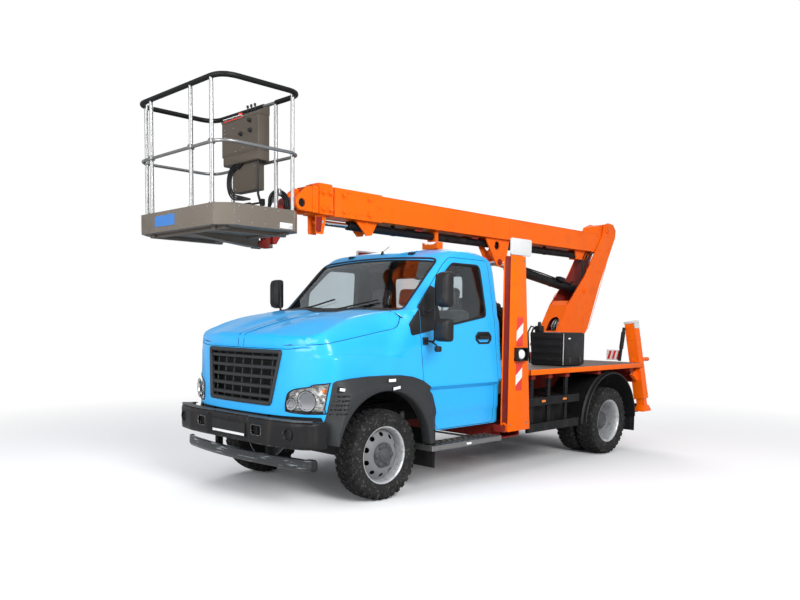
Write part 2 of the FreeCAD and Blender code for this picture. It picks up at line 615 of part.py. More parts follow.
# ---------------------------------------------------------------- outriggers
def front_leg_left():
    outline = [(25, 486), (415, 486), (415, LEG_TOP_Z), (170, LEG_TOP_Z)]
    leg = prism_xz(outline, LEG_Y0, LEG_Y1)
    hollow = prism_xz([(55, 600), (403, 600), (403, LEG_TOP_Z - 12), (182, LEG_TOP_Z - 12)],
                      LEG_Y0 + 10, LEG_Y1 - 10)
    leg = leg.cut(hollow)
    neck = box(200, 340, 1090, 1150, LEG_TOP_Z, 2420)
    foot = box(78, 418, 1140, 1168, 2296, 2465)
    leg = join(leg, neck, foot)
    return leg.cut(rod((0, LEG_PIN_Y, LEG_PIN_Z), (450, LEG_PIN_Y, LEG_PIN_Z), 21))


def tilted(shape):
    """Leans a vertical shape outward at its foot about the top of the left rear outrigger."""
    shape.rotate(V(JACK_X, JACK_TOP_Y, JACK_TOP_Z), X_AXIS, JACK_TILT)
    return shape


def jack_tube():
    """Outer form of the left rear outrigger's square tube."""
    y, z = JACK_TOP_Y, JACK_TOP_Z
    return tilted(box(JACK_X - JACK_HALF_X, JACK_X + JACK_HALF_X, y - JACK_HALF_Y, y + JACK_HALF_Y,
                      z - JACK_LENGTH, z))


def rear_jack_housing_left():
    y, z = JACK_TOP_Y, JACK_TOP_Z
    half_x, half_y = JACK_HALF_X - 10, JACK_HALF_Y - 10
    bore = tilted(box(JACK_X - half_x, JACK_X + half_x, y - half_y, y + half_y, z - JACK_LENGTH - 10, z - 12))
    face = JACK_X + JACK_HALF_X
    gusset = tilted(prism_xz([(face, z - 640), (face, z - 780), (face + 30, z - 780),
                              (face + 130, z - 700), (face + 30, z - 640)], y - 20, y + 20))
    return join(jack_tube().cut(bore), gusset)


def rear_jack_leg_left():
    y, z = JACK_TOP_Y, JACK_TOP_Z
    half_x, half_y = JACK_HALF_X - 18, JACK_HALF_Y - 18
    leg = box(JACK_X - half_x, JACK_X + half_x, y - half_y, y + half_y, z - JACK_REACH + 30, z - 120)
    neck = rod((JACK_X, y, z - JACK_REACH), (JACK_X, y, z - JACK_REACH + 40), 40)
    leg = tilted(join(leg, neck))
    foot_y = y + JACK_REACH * math.sin(math.radians(JACK_TILT))
    foot_z = z - JACK_REACH * math.cos(math.radians(JACK_TILT))
    foot = box(JACK_X - 105, JACK_X + 105, foot_y - 85, foot_y + 60, foot_z - 30, foot_z - 10)
    boss = rod((JACK_X, foot_y, foot_z - 20), (JACK_X, foot_y, foot_z + 45), 38)
    return join(leg, foot, boss)


# ---------------------------------------------------------------- column, boom and basket
COLUMN = [(-1930, 1330), (-2060, 1540), (-2275, 1855), (-2689, 2250), (-3150, 2860), (-3180, 3020),
          (-3280, 3050), (-3420, 3040), (-3500, 2960), (-3490, 2860), (-3100, 2187), (-2797, 1544),
          (-2560, 1330)]


def turntable():
    cheek = prism_xz(COLUMN, CHEEK_Y0, CHEEK_Y1)
    plate = rod((SLEW_X, 0, SLEW_Z - 4), (SLEW_X, 0, 1330), 330)
    back = prism_xz([(-2560, 1330), (-2797, 1544), (-3060, 2100), (-3044, 2108), (-2780, 1552),
                     (-2550, 1342)], -CHEEK_Y0, CHEEK_Y0)
    front = prism_xz([(-1930, 1330), (-2060, 1540), (-2275, 1855), (-2340, 1915), (-2352, 1903),
                      (-2288, 1845), (-2074, 1532), (-1946, 1325)], -CHEEK_Y0, CHEEK_Y0)
    port = join(rod((-2400, PORT_Y, PORT_Z), (-1900, PORT_Y, PORT_Z), PORT_RADIUS),
                box(-2400, -1900, PORT_Y - PORT_RADIUS, PORT_Y + PORT_RADIUS, PORT_Z - 110, PORT_Z))
    front = front.cut(port)
    shelf = box(-2880, -2300, -CHEEK_Y0, CHEEK_Y0, 1850, 1866)
    base_pin = rod((CYL_BASE_X, -140, CYL_BASE_Z), (CYL_BASE_X, 140, CYL_BASE_Z), 24)
    elbow_pin = rod((ELBOW_X, -CHEEK_Y1, ELBOW_Z), (ELBOW_X, CHEEK_Y1, ELBOW_Z), 30)
    return join(plate, cheek, mirrored(cheek), back, front, shelf, base_pin, elbow_pin)


def boom_box(x0, x1, half, z0, z1, wall):
    shell = box(x0, x1, -half, half, z0, z1)
    return shell.cut(box(x0 - 1, x1 + 1, -half + wall, half - wall, z0 + wall, z1 - wall))


def boom_outer():
    tube = boom_box(BOOM_REAR_X, BOOM_FRONT_X, BOOM_HALF, BOOM_Z0, BOOM_Z1, 6)
    end_plate = box(BOOM_REAR_X, BOOM_REAR_X + 8, -BOOM_HALF, BOOM_HALF, BOOM_Z0, BOOM_Z1)
    collar = boom_box(1240, BOOM_FRONT_X, 133, BOOM_Z0 - 8, BOOM_Z1 + 8, 9)
    lug = prism_xz([(-3180, 2760), (-3335, 2915), (-3335, 3000), (-3290, 3030), (-3230, 3030),
                    (-3060, 2990), (-2990, 2870), (-3180, 2870)], -120, 120)
    lug = lug.cut(rod((ELBOW_X, -130, ELBOW_Z), (ELBOW_X, 130, ELBOW_Z), 32))
    parts = [tube, end_plate, collar, lug]
    vee = prism_xz([(-530, 2625), (-760, 2310), (-800, 2290), (-840, 2290), (-960, 2420), (-1010, 2625)],
                   66, 82)
    vee = vee.cut(rod((-760, 50, 2540), (-760, 100, 2540), 52))
    fin = prism_xz([(1250, 2615), (1330, 2480), (1400, 2470), (1560, 2615)], 60, 76)
    rear_bracket = prism_xz([(-2560, 2625), (-2600, 2500), (-2860, 2500), (-2990, 2625)], 46, 58)
    for plate in (vee, fin, rear_bracket):
        parts += [plate, mirrored(plate)]
    clamp = box(290, 340, -60, 60, 2505, 2622).cut(rod((280, 0, TUBE_Z), (350, 0, TUBE_Z), TUBE_RADIUS))
    parts.append(clamp)
    for x in (1405, -700, -2700):
        hanger = box(x - 20, x + 20, -82, 82, 2540, 2622)
        if x < -2000:
            hanger = box(x - 20, x + 20, -58, 58, 2505, 2622)
        parts.append(hanger.cut(rod((x - 30, 0, TUBE_Z), (x + 30, 0, TUBE_Z), TUBE_RADIUS)))
    return join(*parts)


def extension_barrel():
    tube = rod((-2760, 0, TUBE_Z), (1600, 0, TUBE_Z), TUBE_RADIUS)
    return tube.cut(rod((-2740, 0, TUBE_Z), (1610, 0, TUBE_Z), TUBE_BORE_RADIUS))


def extension_rod():
    shaft = rod((-2400, 0, TUBE_Z), (ROD_EYE_X, 0, TUBE_Z), EXTENSION_ROD_RADIUS)
    eye = rod((ROD_EYE_X, -40, TUBE_Z), (ROD_EYE_X, 40, TUBE_Z), 40)
    pin = rod((ROD_EYE_X, -66, TUBE_Z), (ROD_EYE_X, 66, TUBE_Z), ROD_PIN_RADIUS)
    return join(shaft, eye, pin)


def boom_mid():
    tube = boom_box(-2950, 2050, 108, BOOM_Z0 + 17, BOOM_Z1 - 17, 6)
    collar = boom_box(1888, 2060, BOOM_HALF, BOOM_Z0, BOOM_Z1, 17)
    droop = prism_xz([(1920, 2625), (1960, 2440), (2050, 2440), (2056, 2625)], 48, 62)
    droop = droop.cut(rod((ROD_EYE_X, 40, TUBE_Z), (ROD_EYE_X, 70, TUBE_Z), ROD_PIN_RADIUS))
    cross = box(1925, 2056, -62, 62, 2612, 2626)
    return join(tube, collar, droop, mirrored(droop), cross)


def boom_inner():
    tube = boom_box(-2900, 2130, 92, BOOM_Z0 + 33, BOOM_Z1 - 33, 6)
    collar = boom_box(2068, 2140, 120, BOOM_Z0 + 5, BOOM_Z1 - 5, 30)
    cheek = prism_xz([(2068, 2630), (2068, 2870), (2200, 2860), (2345, 2740), (2345, 2660), (2300, 2630)],
                     95, 113)
    cheek = cheek.cut(rod((HEAD_X, 80, HEAD_Z), (HEAD_X, 120, HEAD_Z), 26))
    return join(tube, collar, cheek, mirrored(cheek))


def basket_mount():
    """Levelling yoke on the boom head, with the upright pin that the basket slews on."""
    boss = rod((HEAD_X, -88, HEAD_Z), (HEAD_X, 88, HEAD_Z), 52)
    pin = rod((HEAD_X, -125, HEAD_Z), (HEAD_X, 125, HEAD_Z), 24)
    arm = prism_xz([(HEAD_X, 2740), (HEAD_X, 2650), (BASKET_PIVOT_X - 70, 2300), (BASKET_PIVOT_X - 30, 2300),
                    (BASKET_PIVOT_X - 30, 2540), (BASKET_PIVOT_X - 50, 2540), (2380, 2740)], -70, 70)
    post = rod((BASKET_PIVOT_X, 0, 2300), (BASKET_PIVOT_X, 0, 2560), 48)
    bore = rod((BASKET_PIVOT_X, 0, 2290), (BASKET_PIVOT_X, 0, 2570), PIVOT_RADIUS + 2)
    return join(boss, pin, arm, post).cut(bore)


def basket_loop():
    c, h = BASKET_CORNER, BASKET_HALF
    x0, x1 = BASKET_X0, BASKET_X1
    return [(x0 + c, h), (x1 - c, h), (x1, h - c), (x1, -h + c), (x1 - c, -h), (x0 + c, -h), (x0, -h + c),
            (x0, h - c)]


def loop_tube(z, radius, inset):
    points = []
    for x, y in basket_loop():
        cx = (BASKET_X0 + BASKET_X1) / 2
        points.append((x - math.copysign(inset, x - cx), y - math.copysign(inset, y), z))
    parts = []
    for i, start in enumerate(points):
        end = points[(i + 1) % len(points)]
        parts.append(rod(start, end, radius))
        parts.append(Part.makeSphere(radius, V(*start)))
    return join(*parts)


def basket():
    tray = prism_xy(basket_loop(), BASKET_Z0, BASKET_Z1)
    hollow_points = []
    cx = (BASKET_X0 + BASKET_X1) / 2
    for x, y in basket_loop():
        hollow_points.append((x - math.copysign(TRAY_WALL, x - cx), y - math.copysign(TRAY_WALL, y)))
    tray = tray.cut(prism_xy(hollow_points, BASKET_Z0 + 12, BASKET_Z1 + 1))
    parts = [tray, loop_tube(RAIL_Z, 18, 20), loop_tube(MID_RAIL_Z, 12, 20)]
    for x, y in BASKET_POSTS:
        parts.append(rod((x, y, BASKET_Z0 + 6), (x, y, RAIL_Z), 16))
    pivot = rod((BASKET_PIVOT_X, 0, 2262), (BASKET_PIVOT_X, 0, 2590), PIVOT_RADIUS)
    under = prism_xz([(BASKET_PIVOT_X - 40, 2262), (BASKET_PIVOT_X - 40, 2292), (BASKET_X0 + 20, 2292),
                      (BASKET_X0 + 20, BASKET_Z0 + 2), (3350, BASKET_Z0 + 2), (3350, 2320),
                      (2760, 2262)], -60, 60)
    cap = rod((BASKET_PIVOT_X, 0, 2566), (BASKET_PIVOT_X, 0, 2592), 46)
    cap_arm = box(BASKET_PIVOT_X, BASKET_X0 + 12, -45, 45, 2566, 2592)
    cap_post = box(BASKET_X0, BASKET_X0 + 20, -45, 45, BASKET_Z0, 2592)
    parts += [pivot, under, cap, cap_arm, cap_post]
    return join(*parts)


def control_box():
    """Control cabinet on the rear rails, facing the people in the basket, with its valve box below."""
    parts = [box(2724, 2842, -320, 250, 3070, RAIL_Z - 30), box(2724, 2806, -190, 170, 2730, 3074)]
    for y in (-260, 160):
        parts.append(box(2680, 2730, y, y + 30, RAIL_Z - 46, RAIL_Z - 18))
        parts.append(box(2712, 2728, y, y + 30, MID_RAIL_Z - 6, MID_RAIL_Z + 6))
    return join(*parts)


def lift_vector():
    dx, dz = CYL_EYE_X - CYL_BASE_X, CYL_EYE_Z - CYL_BASE_Z
    length = math.hypot(dx, dz)
    return dx / length, dz / length, length


def along(distance):
    ux, uz, _ = lift_vector()
    return (CYL_BASE_X + ux * distance, 0, CYL_BASE_Z + uz * distance)


def lift_barrel():
    tube = rod(along(40), along(LIFT_BARREL_LENGTH), LIFT_BARREL_RADIUS)
    eye = rod((CYL_BASE_X, -58, CYL_BASE_Z), (CYL_BASE_X, 58, CYL_BASE_Z), 64)
    body = join(tube, eye).cut(rod(along(90), along(LIFT_BARREL_LENGTH + 20), LIFT_BORE_RADIUS))
    return body.cut(rod((CYL_BASE_X, -70, CYL_BASE_Z), (CYL_BASE_X, 70, CYL_BASE_Z), 26))


def lift_rod():
    _, _, length = lift_vector()
    piston_rod = rod(along(300), along(length - 30), LIFT_ROD_RADIUS)
    eye = rod((CYL_EYE_X, -50, CYL_EYE_Z), (CYL_EYE_X, 50, CYL_EYE_Z), 44)
    body = join(piston_rod, eye)
    return body.cut(rod((CYL_EYE_X, -60, CYL_EYE_Z), (CYL_EYE_X, 60, CYL_EYE_Z), 22))


# ---------------------------------------------------------------- build
os.makedirs("parts", exist_ok=True)

SINGLE_PARTS = {
    "chassis_frame": chassis_frame,
    "subframe": subframe,
    "front_axle": front_axle,
    "rear_axle": rear_axle,
    "engine_block": engine_block,
    "cab_shell": cab_shell,
    "cab_glass": cab_glass,
    "bonnet": bonnet,
    "grille": grille,
    "front_bumper": front_bumper,
    "lower_bar": lower_bar,
    "seats": seats,
    "deck": deck,
    "slew_base": slew_base,
    "deck_cabinet": deck_cabinet,
    "cabinet_door": cabinet_door,
    "rear_bumper": rear_bumper,
    "spare_wheel": spare_wheel,
    "boom_rest": boom_rest,
    "fuel_tank": fuel_tank,
    "battery_box": battery_box,
    "turntable": turntable,
    "boom_outer": boom_outer,
    "extension_barrel": extension_barrel,
    "boom_mid": boom_mid,
    "extension_rod": extension_rod,
    "boom_inner": boom_inner,
    "lift_barrel": lift_barrel,
    "lift_rod": lift_rod,
    "basket_mount": basket_mount,
    "basket": basket,
    "control_box": control_box,
}
for part_name, maker in SINGLE_PARTS.items():
    save(part_name, maker())

PAIRED_PARTS = {
    "knuckle": knuckle_left,
    "door": door_left,
    "flare": flare_left,
    "running_board": running_board_left,
    "mirror": mirror_left,
    "side_guard": side_guard_left,
    "mudguard": mudguard_left,
    "front_leg": front_leg_left,
    "rear_jack_housing": rear_jack_housing_left,
    "rear_jack_leg": rear_jack_leg_left,
    "rim_front": rim_front,
    "rim_rear": rim_rear,
}
for part_name, maker in PAIRED_PARTS.items():
    save_pair(part_name, maker())

save_pair("tyre_front", tyre_solid(FRONT_AXLE_X, FRONT_WHEEL_Y))
twin = [tyre_solid(REAR_AXLE_X, REAR_WHEEL_Y + side * DUAL_SPACING / 2) for side in (-1, 1)]
save_pair("tyre_rear", Part.makeCompound(twin))
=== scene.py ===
"""Looks of the cherry picker truck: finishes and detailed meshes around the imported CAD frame.

Every piece is built in metres in the frame's own coordinates (+X forward, +Y left, +Z up) at rest.
"""
import json
import math

import bmesh
import bpy
import numpy as np
from mathutils import Matrix, Vector
from mathutils.geometry import delaunay_2d_cdt


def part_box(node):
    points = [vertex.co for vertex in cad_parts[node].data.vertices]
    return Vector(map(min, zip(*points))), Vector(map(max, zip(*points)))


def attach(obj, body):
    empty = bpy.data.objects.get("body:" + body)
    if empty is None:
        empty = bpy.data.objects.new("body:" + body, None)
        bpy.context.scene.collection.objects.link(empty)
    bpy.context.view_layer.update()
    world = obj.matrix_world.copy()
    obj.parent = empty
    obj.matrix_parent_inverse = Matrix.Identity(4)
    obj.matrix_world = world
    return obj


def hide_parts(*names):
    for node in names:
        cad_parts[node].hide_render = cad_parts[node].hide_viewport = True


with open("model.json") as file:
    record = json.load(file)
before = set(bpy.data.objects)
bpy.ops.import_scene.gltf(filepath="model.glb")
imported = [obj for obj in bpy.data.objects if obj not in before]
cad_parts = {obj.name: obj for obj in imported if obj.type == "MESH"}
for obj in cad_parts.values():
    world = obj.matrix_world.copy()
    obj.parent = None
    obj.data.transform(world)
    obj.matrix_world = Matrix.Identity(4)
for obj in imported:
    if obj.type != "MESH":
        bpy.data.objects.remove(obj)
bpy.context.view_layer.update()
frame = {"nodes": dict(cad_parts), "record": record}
NODES = frame["nodes"]
SIDES = (("left", 1), ("right", -1))
SQUARE = ((-1, -1), (1, -1), (1, 1), (-1, 1))


# ---------------------------------------------------------------- camera, light and floor
CAMERA_PLACE = (6.729, 5.797, 1.614)
CAMERA_YAW, CAMERA_PITCH, CAMERA_ROLL = math.radians(224.6), math.radians(-4.38), math.radians(0.66)
CAMERA_LENS = 34.2
CAMERA_SHIFT = (0.0028, 0.0988)
WORLD_STRENGTH = 0.75
WORLD_BANDS = ((0.40, (0.22, 0.22, 0.22)), (0.50, (0.95, 0.96, 0.98)), (0.60, (0.80, 0.84, 0.90)),
               (0.74, (0.30, 0.33, 0.40)), (1.00, (0.45, 0.49, 0.56)))  # height from below to above, colour
LIGHTS = (  # name, place, aim, size in metres, power in watts
    ("key", (4.0, 9.0, 5.6), (0, 0, 1.1), 4.0, 900),
    ("fill", (9.5, 0.5, 4.4), (0.5, 0, 1.2), 5.0, 420),
    ("back", (-7.0, -6.0, 7.0), (0, 0, 1.5), 5.0, 380),
)
FLOOR_HALF = 45.0
FLOOR_FADE = (4.5, 8.5)  # from the shaded floor to plain white, by distance from the truck's middle


def link(data, name=None):
    """Puts an object that shows the data in the scene."""
    made = bpy.data.objects.new(name or data.name, data)
    bpy.context.scene.collection.objects.link(made)
    return made


def make_camera():
    data = bpy.data.cameras.new("photo_view")
    camera = link(data)
    forward = Vector((math.cos(CAMERA_YAW) * math.cos(CAMERA_PITCH),
                      math.sin(CAMERA_YAW) * math.cos(CAMERA_PITCH), math.sin(CAMERA_PITCH)))
    turn = forward.to_track_quat("-Z", "Y").to_matrix().to_4x4() @ Matrix.Rotation(CAMERA_ROLL, 4, "Z")
    camera.matrix_world = Matrix.Translation(CAMERA_PLACE) @ turn
    data.sensor_width = 36
    data.lens = CAMERA_LENS
    data.shift_x, data.shift_y = CAMERA_SHIFT
    data.clip_end = 200
    bpy.context.scene.camera = camera


class Graph:
    """A node tree that is built by naming each node with its inputs: a value, or another node's output."""

    def __init__(self, owner):
        owner.use_nodes = True
        self.nodes, self.links = owner.node_tree.nodes, owner.node_tree.links

    def node(self, kind, *inputs, settings=(), **named):
        made = self.nodes.new("ShaderNode" + kind)
        for name, value in dict(settings).items():
            setattr(made, name, value)
        values = list(enumerate(inputs)) + [(name.replace("_", " "), value) for name,
                                            value in named.items()]
        for socket, value in values:
            if isinstance(value, bpy.types.NodeSocket):
                self.links.new(value, made.inputs[socket])
            else:
                made.inputs[socket].default_value = value
        return made

    def out(self, kind, *inputs, **named):
        """The first output of a new node."""
        return self.node(kind, *inputs, **named).outputs[0]

    def seen_directly(self):
        """1 for the rays that show the background itself: from the camera or through a glass."""
        path = self.node("LightPath").outputs
        return self.out("Math", path["Is Camera Ray"], path["Is Transmission Ray"],
                        settings={"operation": "MAXIMUM"})


def make_world():
    world = bpy.data.worlds.new("studio")
    graph = Graph(world)
    bpy.context.scene.world = world
    graph.nodes.clear()
    seen = graph.out("Background", (1, 1, 1, 1), 1.0)
    height = graph.node("SeparateXYZ", graph.node("TexCoord").outputs["Generated"]).outputs["Z"]
    bands = graph.node("ValToRGB", graph.out("MapRange", height, From_Min=-1.0))
    bands.color_ramp.interpolation = "EASE"
    for place, color in WORLD_BANDS:
        bands.color_ramp.elements.new(place).color = (*color, 1)
    fill = graph.out("Background", bands.outputs[0], WORLD_STRENGTH)
    graph.node("OutputWorld", graph.out("MixShader", graph.seen_directly(), fill, seen))


def make_lights():
    for name, place, aim, size, power in LIGHTS:
        data = bpy.data.lights.new(name, "AREA")
        data.shape = "SQUARE"
        data.size = size
        data.energy = power
        lamp = link(data)
        lamp.location = place
        lamp.rotation_euler = (Vector(aim) - Vector(place)).to_track_quat("-Z", "Y").to_euler()


def make_floor():
    mesh = bpy.data.meshes.new("floor")
    corners = [(x * FLOOR_HALF, y * FLOOR_HALF, 0) for x, y in SQUARE]
    mesh.from_pydata(corners, [], [(0, 1, 2, 3)])
    floor = link(mesh)
    material = bpy.data.materials.new("floor")
    graph = Graph(material)
    graph.nodes.clear()
    plain = graph.out("BsdfDiffuse", (0.5, 0.5, 0.5, 1))
    shaded = graph.out("BsdfDiffuse", (0.46, 0.46, 0.46, 1))
    distance = graph.node("VectorMath", graph.node("TexCoord").outputs["Object"],
                          settings={"operation": "LENGTH"})
    away = graph.out("MapRange", distance.outputs["Value"], *FLOOR_FADE)
    shown = graph.out("MixShader", away, graph.out("AddShader", shaded, shaded), graph.out("Emission"))
    graph.node("OutputMaterial", graph.out("MixShader", graph.seen_directly(), plain, shown))
    mesh.materials.append(material)


make_camera()
make_world()
make_lights()
make_floor()
bpy.context.scene.view_settings.view_transform = "Standard"


# ---------------------------------------------------------------- materials
MATERIALS = {}


class Shader(Graph):
    """A Principled material with helpers that add procedural detail in the object's own coordinates."""

    def __init__(self, name, color, roughness, metallic=0.0, **sockets):
        MATERIALS[name] = bpy.data.materials.new(name)
        super().__init__(MATERIALS[name])
        self.bsdf = self.nodes["Principled BSDF"]
        self.bsdf.inputs["Base Color"].default_value = (*color, 1)
        self.bsdf.inputs["Roughness"].default_value = roughness
        self.bsdf.inputs["Metallic"].default_value = metallic
        for socket, value in sockets.items():
            self.bsdf.inputs[socket.replace("_", " ")].default_value = value
        self.coords = self.node("TexCoord").outputs["Object"]
        self.color = (*color, 1)
        self.bump = None

    def noise(self, scale, detail=3.0, stretch=None):
        place = self.out("Mapping", self.coords, Scale=stretch) if stretch else self.coords
        return self.node("TexNoise", Vector=place, Scale=scale, Detail=detail).outputs["Fac"]

    def cells(self, scale):
        return self.node("TexVoronoi", Vector=self.coords, Scale=scale).outputs["Distance"]

    def ramp(self, value, low, high):
        return self.out("MapRange", value, low, high)

    def times(self, a, b):
        return self.out("Math", a, b, settings={"operation": "MULTIPLY"})

    def paint(self, mask, color):
        """Mixes a colour over the base where the mask is 1."""
        mix = self.node("Mix", settings={"data_type": "RGBA"}, Factor=mask)
        if isinstance(self.color, tuple):
            mix.inputs["A"].default_value = self.color
        else:
            self.links.new(self.color, mix.inputs["A"])
        mix.inputs["B"].default_value = (*color, 1)
        self.color = mix.outputs["Result"]
        self.links.new(self.color, self.bsdf.inputs["Base Color"])

    def stain_and_painted_light(self, scale, detail, low, high, share, color, stretch=None):
        """A colour laid over the share of the surface where the noise passes from low to high; used for
        stains and dirt, and also for painted highlights and painted shadow.
        """
        mask = self.ramp(self.noise(scale, detail, stretch), low, high)
        self.paint(mask if share is None else self.times(mask, share), color)

    def gloss(self, scale, detail, low, high, stretch=None):
        """Roughness that wanders between low and high."""
        wander = self.out("MapRange", self.noise(scale, detail, stretch), To_Min=low, To_Max=high)
        self.links.new(wander, self.bsdf.inputs["Roughness"])

    def relief(self, value, distance, strength=1.0):
        bump = self.node("Bump", Height=value, Distance=distance, Strength=strength)
        if self.bump is not None:
            self.links.new(self.bump, bump.inputs["Normal"])
        self.lean_on(bump.outputs[0])

    def grain(self, scale, detail, distance, strength):
        self.relief(self.noise(scale, detail), distance, strength)

    def lean_on(self, normal):
        self.bump = normal
        self.links.new(normal, self.bsdf.inputs["Normal"])

    def soft_normal(self, radius):
        return self.out("Bevel", radius, settings={"samples": 4})

    def rounded(self, radius):
        """Rounds the shading of hard edges, as on folded or rolled steel."""
        self.lean_on(self.soft_normal(radius))

    def low_down(self, low, high):
        """1 at the low height and 0 at the high one."""
        return self.ramp(self.node("SeparateXYZ", self.coords).outputs["Z"], high, low)

    def edges(self, radius, low=0.04, high=0.2):
        """1 along convex and concave edges, from how far a rounded normal leans from the true one."""
        true = self.node("NewGeometry").outputs["Normal"]
        dot = self.node("VectorMath", self.soft_normal(radius), true, settings={"operation": "DOT_PRODUCT"})
        lean = self.out("Math", 1.0, dot.outputs["Value"], settings={"operation": "SUBTRACT"})
        return self.ramp(lean, low, high)


def tinted(color, share):
    return tuple(c * share for c in color)


def painted_steel(name, color, roughness, dirt, wear, wear_color=(0.12, 0.1, 0.09)):
    """Sprayed steel: orange peel, faint mottling, upright streaks of dust and chipped edges."""
    shader = Shader(name, color, roughness, Specular_IOR_Level=0.14, Coat_Weight=0.03, Coat_Roughness=0.15)
    shader.rounded(0.004)
    shader.grain(240, 2, 0.0004, 0.35)
    shader.grain(9, 3, 0.002, 0.2)
    shader.stain_and_painted_light(2.3, 4, 0.45, 0.75, 0.55, tuple(min(1, c * 1.12 + 0.004) for c in color))
    shader.stain_and_painted_light(5.5, 6, 0.55, 0.8, 0.5, tinted(color, 0.72))
    shader.stain_and_painted_light(14, 6, 0.52, 0.75, dirt, (0.16, 0.12, 0.09), (1, 1, 0.25))
    chips = shader.times(shader.edges(0.006), shader.ramp(shader.noise(60, 4), 0.5, 0.62))
    shader.paint(shader.times(chips, wear), wear_color)
    shader.gloss(11, 4, roughness * 0.8, roughness * 1.35)


def glossy_marker(name, color):
    """A lamp's lens, a stripe or a plate: coated and slightly soiled."""
    shader = Shader(name, color, 0.3, Coat_Weight=0.4)
    shader.stain_and_painted_light(40, 5, 0.5, 0.8, 0.3, tinted(color, 0.6))
    shader.grain(300, 2, 0.0004, 0.3)


def matt_trim(name, color):
    """Plain moulded or painted trim."""
    shader = Shader(name, color, 0.5, Specular_IOR_Level=0.25)
    shader.stain_and_painted_light(6, 4, 0.4, 0.8, 0.4, tinted(color, 0.75))
    shader.grain(420, 2, 0.0005, 0.5)


def cab_paint():
    shader = Shader("cab_paint", (0.020, 0.42, 0.90), 0.3, Specular_IOR_Level=0.3, Coat_Weight=0.35,
                    Coat_Roughness=0.04)
    shader.grain(420, 2, 0.0003, 0.12)
    shader.stain_and_painted_light(1.6, 4, 0.5, 0.8, 0.35, (0.014, 0.36, 0.82))
    dust = shader.times(shader.low_down(0.58, 0.85), 0.55)
    shader.paint(shader.times(dust, shader.ramp(shader.noise(26, 8), 0.48, 0.8)), (0.16, 0.36, 0.52))
    shader.gloss(24, 4, 0.24, 0.38)


def plastics():
    shader = Shader("black_plastic", (0.013, 0.013, 0.014), 0.45, Specular_IOR_Level=0.3)
    shader.rounded(0.003)
    shader.grain(380, 2, 0.0004, 0.5)
    shader.stain_and_painted_light(9, 5, 0.55, 0.85, None, (0.030, 0.029, 0.028))
    shader.gloss(30, 4, 0.38, 0.6)
    shader = Shader("grey_plastic", (0.052, 0.054, 0.058), 0.55)
    shader.rounded(0.004)
    shader.grain(520, 2, 0.0005, 0.6)
    shader.stain_and_painted_light(7, 5, 0.5, 0.8, 0.6, (0.10, 0.10, 0.10))
    dust = shader.times(shader.low_down(0.45, 0.9), shader.ramp(shader.noise(22, 6), 0.5, 0.7))
    shader.paint(dust, (0.15, 0.14, 0.12))
    shader.gloss(16, 4, 0.45, 0.68)


def rubber_and_fabric():
    shader = Shader("tyre_rubber", (0.010, 0.010, 0.010), 0.72, Specular_IOR_Level=0.3)
    shader.grain(160, 4, 0.001, 0.6)
    shader.stain_and_painted_light(7, 4, 0.4, 0.8, 0.35, (0.05, 0.047, 0.043))
    shader.stain_and_painted_light(46, 8, 0.56, 0.72, 0.6, (0.15, 0.14, 0.13))
    shader.gloss(25, 4, 0.6, 0.9)
    shader = Shader("seat_fabric", (0.10, 0.105, 0.115), 0.9, Sheen_Weight=0.4)
    weave = shader.node("TexWave", Vector=shader.coords, Scale=160).outputs["Fac"]
    shader.relief(weave, 0.0006, 0.5)
    shader.stain_and_painted_light(40, 4, 0.45, 0.7, None, (0.16, 0.165, 0.175))


def bare_metals():
    shader = Shader("wheel_silver", (0.62, 0.63, 0.64), 0.36, 0.55)
    shader.grain(200, 3, 0.0004, 0.4)
    shader.stain_and_painted_light(26, 6, 0.52, 0.75, 0.75, (0.24, 0.22, 0.2))
    shader.gloss(30, 4, 0.28, 0.5)
    shader = Shader("galvanised", (0.33, 0.33, 0.325), 0.32, 0.9)
    shader.paint(shader.times(shader.cells(70), 0.6), (0.28, 0.28, 0.28))
    shader.stain_and_painted_light(12, 6, 0.55, 0.8, 0.6, (0.20, 0.185, 0.16))
    shader.grain(150, 3, 0.0005, 0.3)
    shader.gloss(14, 4, 0.26, 0.5)
    shader = Shader("iron", (0.045, 0.042, 0.04), 0.7, 0.3)
    shader.grain(90, 5, 0.002, 0.5)
    shader.stain_and_painted_light(8, 6, 0.5, 0.75, None, (0.12, 0.085, 0.06))
    shader = Shader("chrome_dark", (0.022, 0.024, 0.026), 0.15, 0.0, Coat_Weight=0.25, Coat_Roughness=0.08)
    shader.rounded(0.006)
    # Light streaks stretched along the bar: painted highlights.
    shader.stain_and_painted_light(9, 7, 0.57, 0.66, 0.8, (0.36, 0.40, 0.42), (3.0, 0.35, 5.0))
    # Lighter edges: painted highlight along the bar's edges.
    shader.paint(shader.times(shader.edges(0.008), 0.8), (0.42, 0.46, 0.48))
    shader.grain(26, 4, 0.0012, 0.4)
    shader.gloss(20, 5, 0.08, 0.4)
    shader = Shader("rod_chrome", (0.78, 0.78, 0.79), 0.1, 1.0)
    shader.gloss(60, 3, 0.06, 0.18, (0.1, 1, 1))


def glasses():
    shader = Shader("glass", (0.66, 0.72, 0.74), 0.02, Transmission_Weight=1.0, IOR=1.42)
    shader.gloss(6, 3, 0.0, 0.035)
    shader = Shader("lamp_glass", (0.97, 0.98, 0.98), 0.03, Transmission_Weight=1.0, IOR=1.25)
    shader.grain(70, 2, 0.0005, 0.2)
    shader = Shader("mirror_glass", (0.75, 0.77, 0.8), 0.04, 1.0)
    shader.gloss(12, 3, 0.02, 0.08)
    shader = Shader("lamp_inside", (0.95, 0.95, 0.94), 0.12, 0.45)
    shader.relief(shader.cells(26), 0.02, 0.7)
    # Dark streaks over the bright reflector: painted shadow.
    shader.stain_and_painted_light(20, 3, 0.54, 0.60, 0.7, (0.10, 0.09, 0.08), (1, 1, 3))


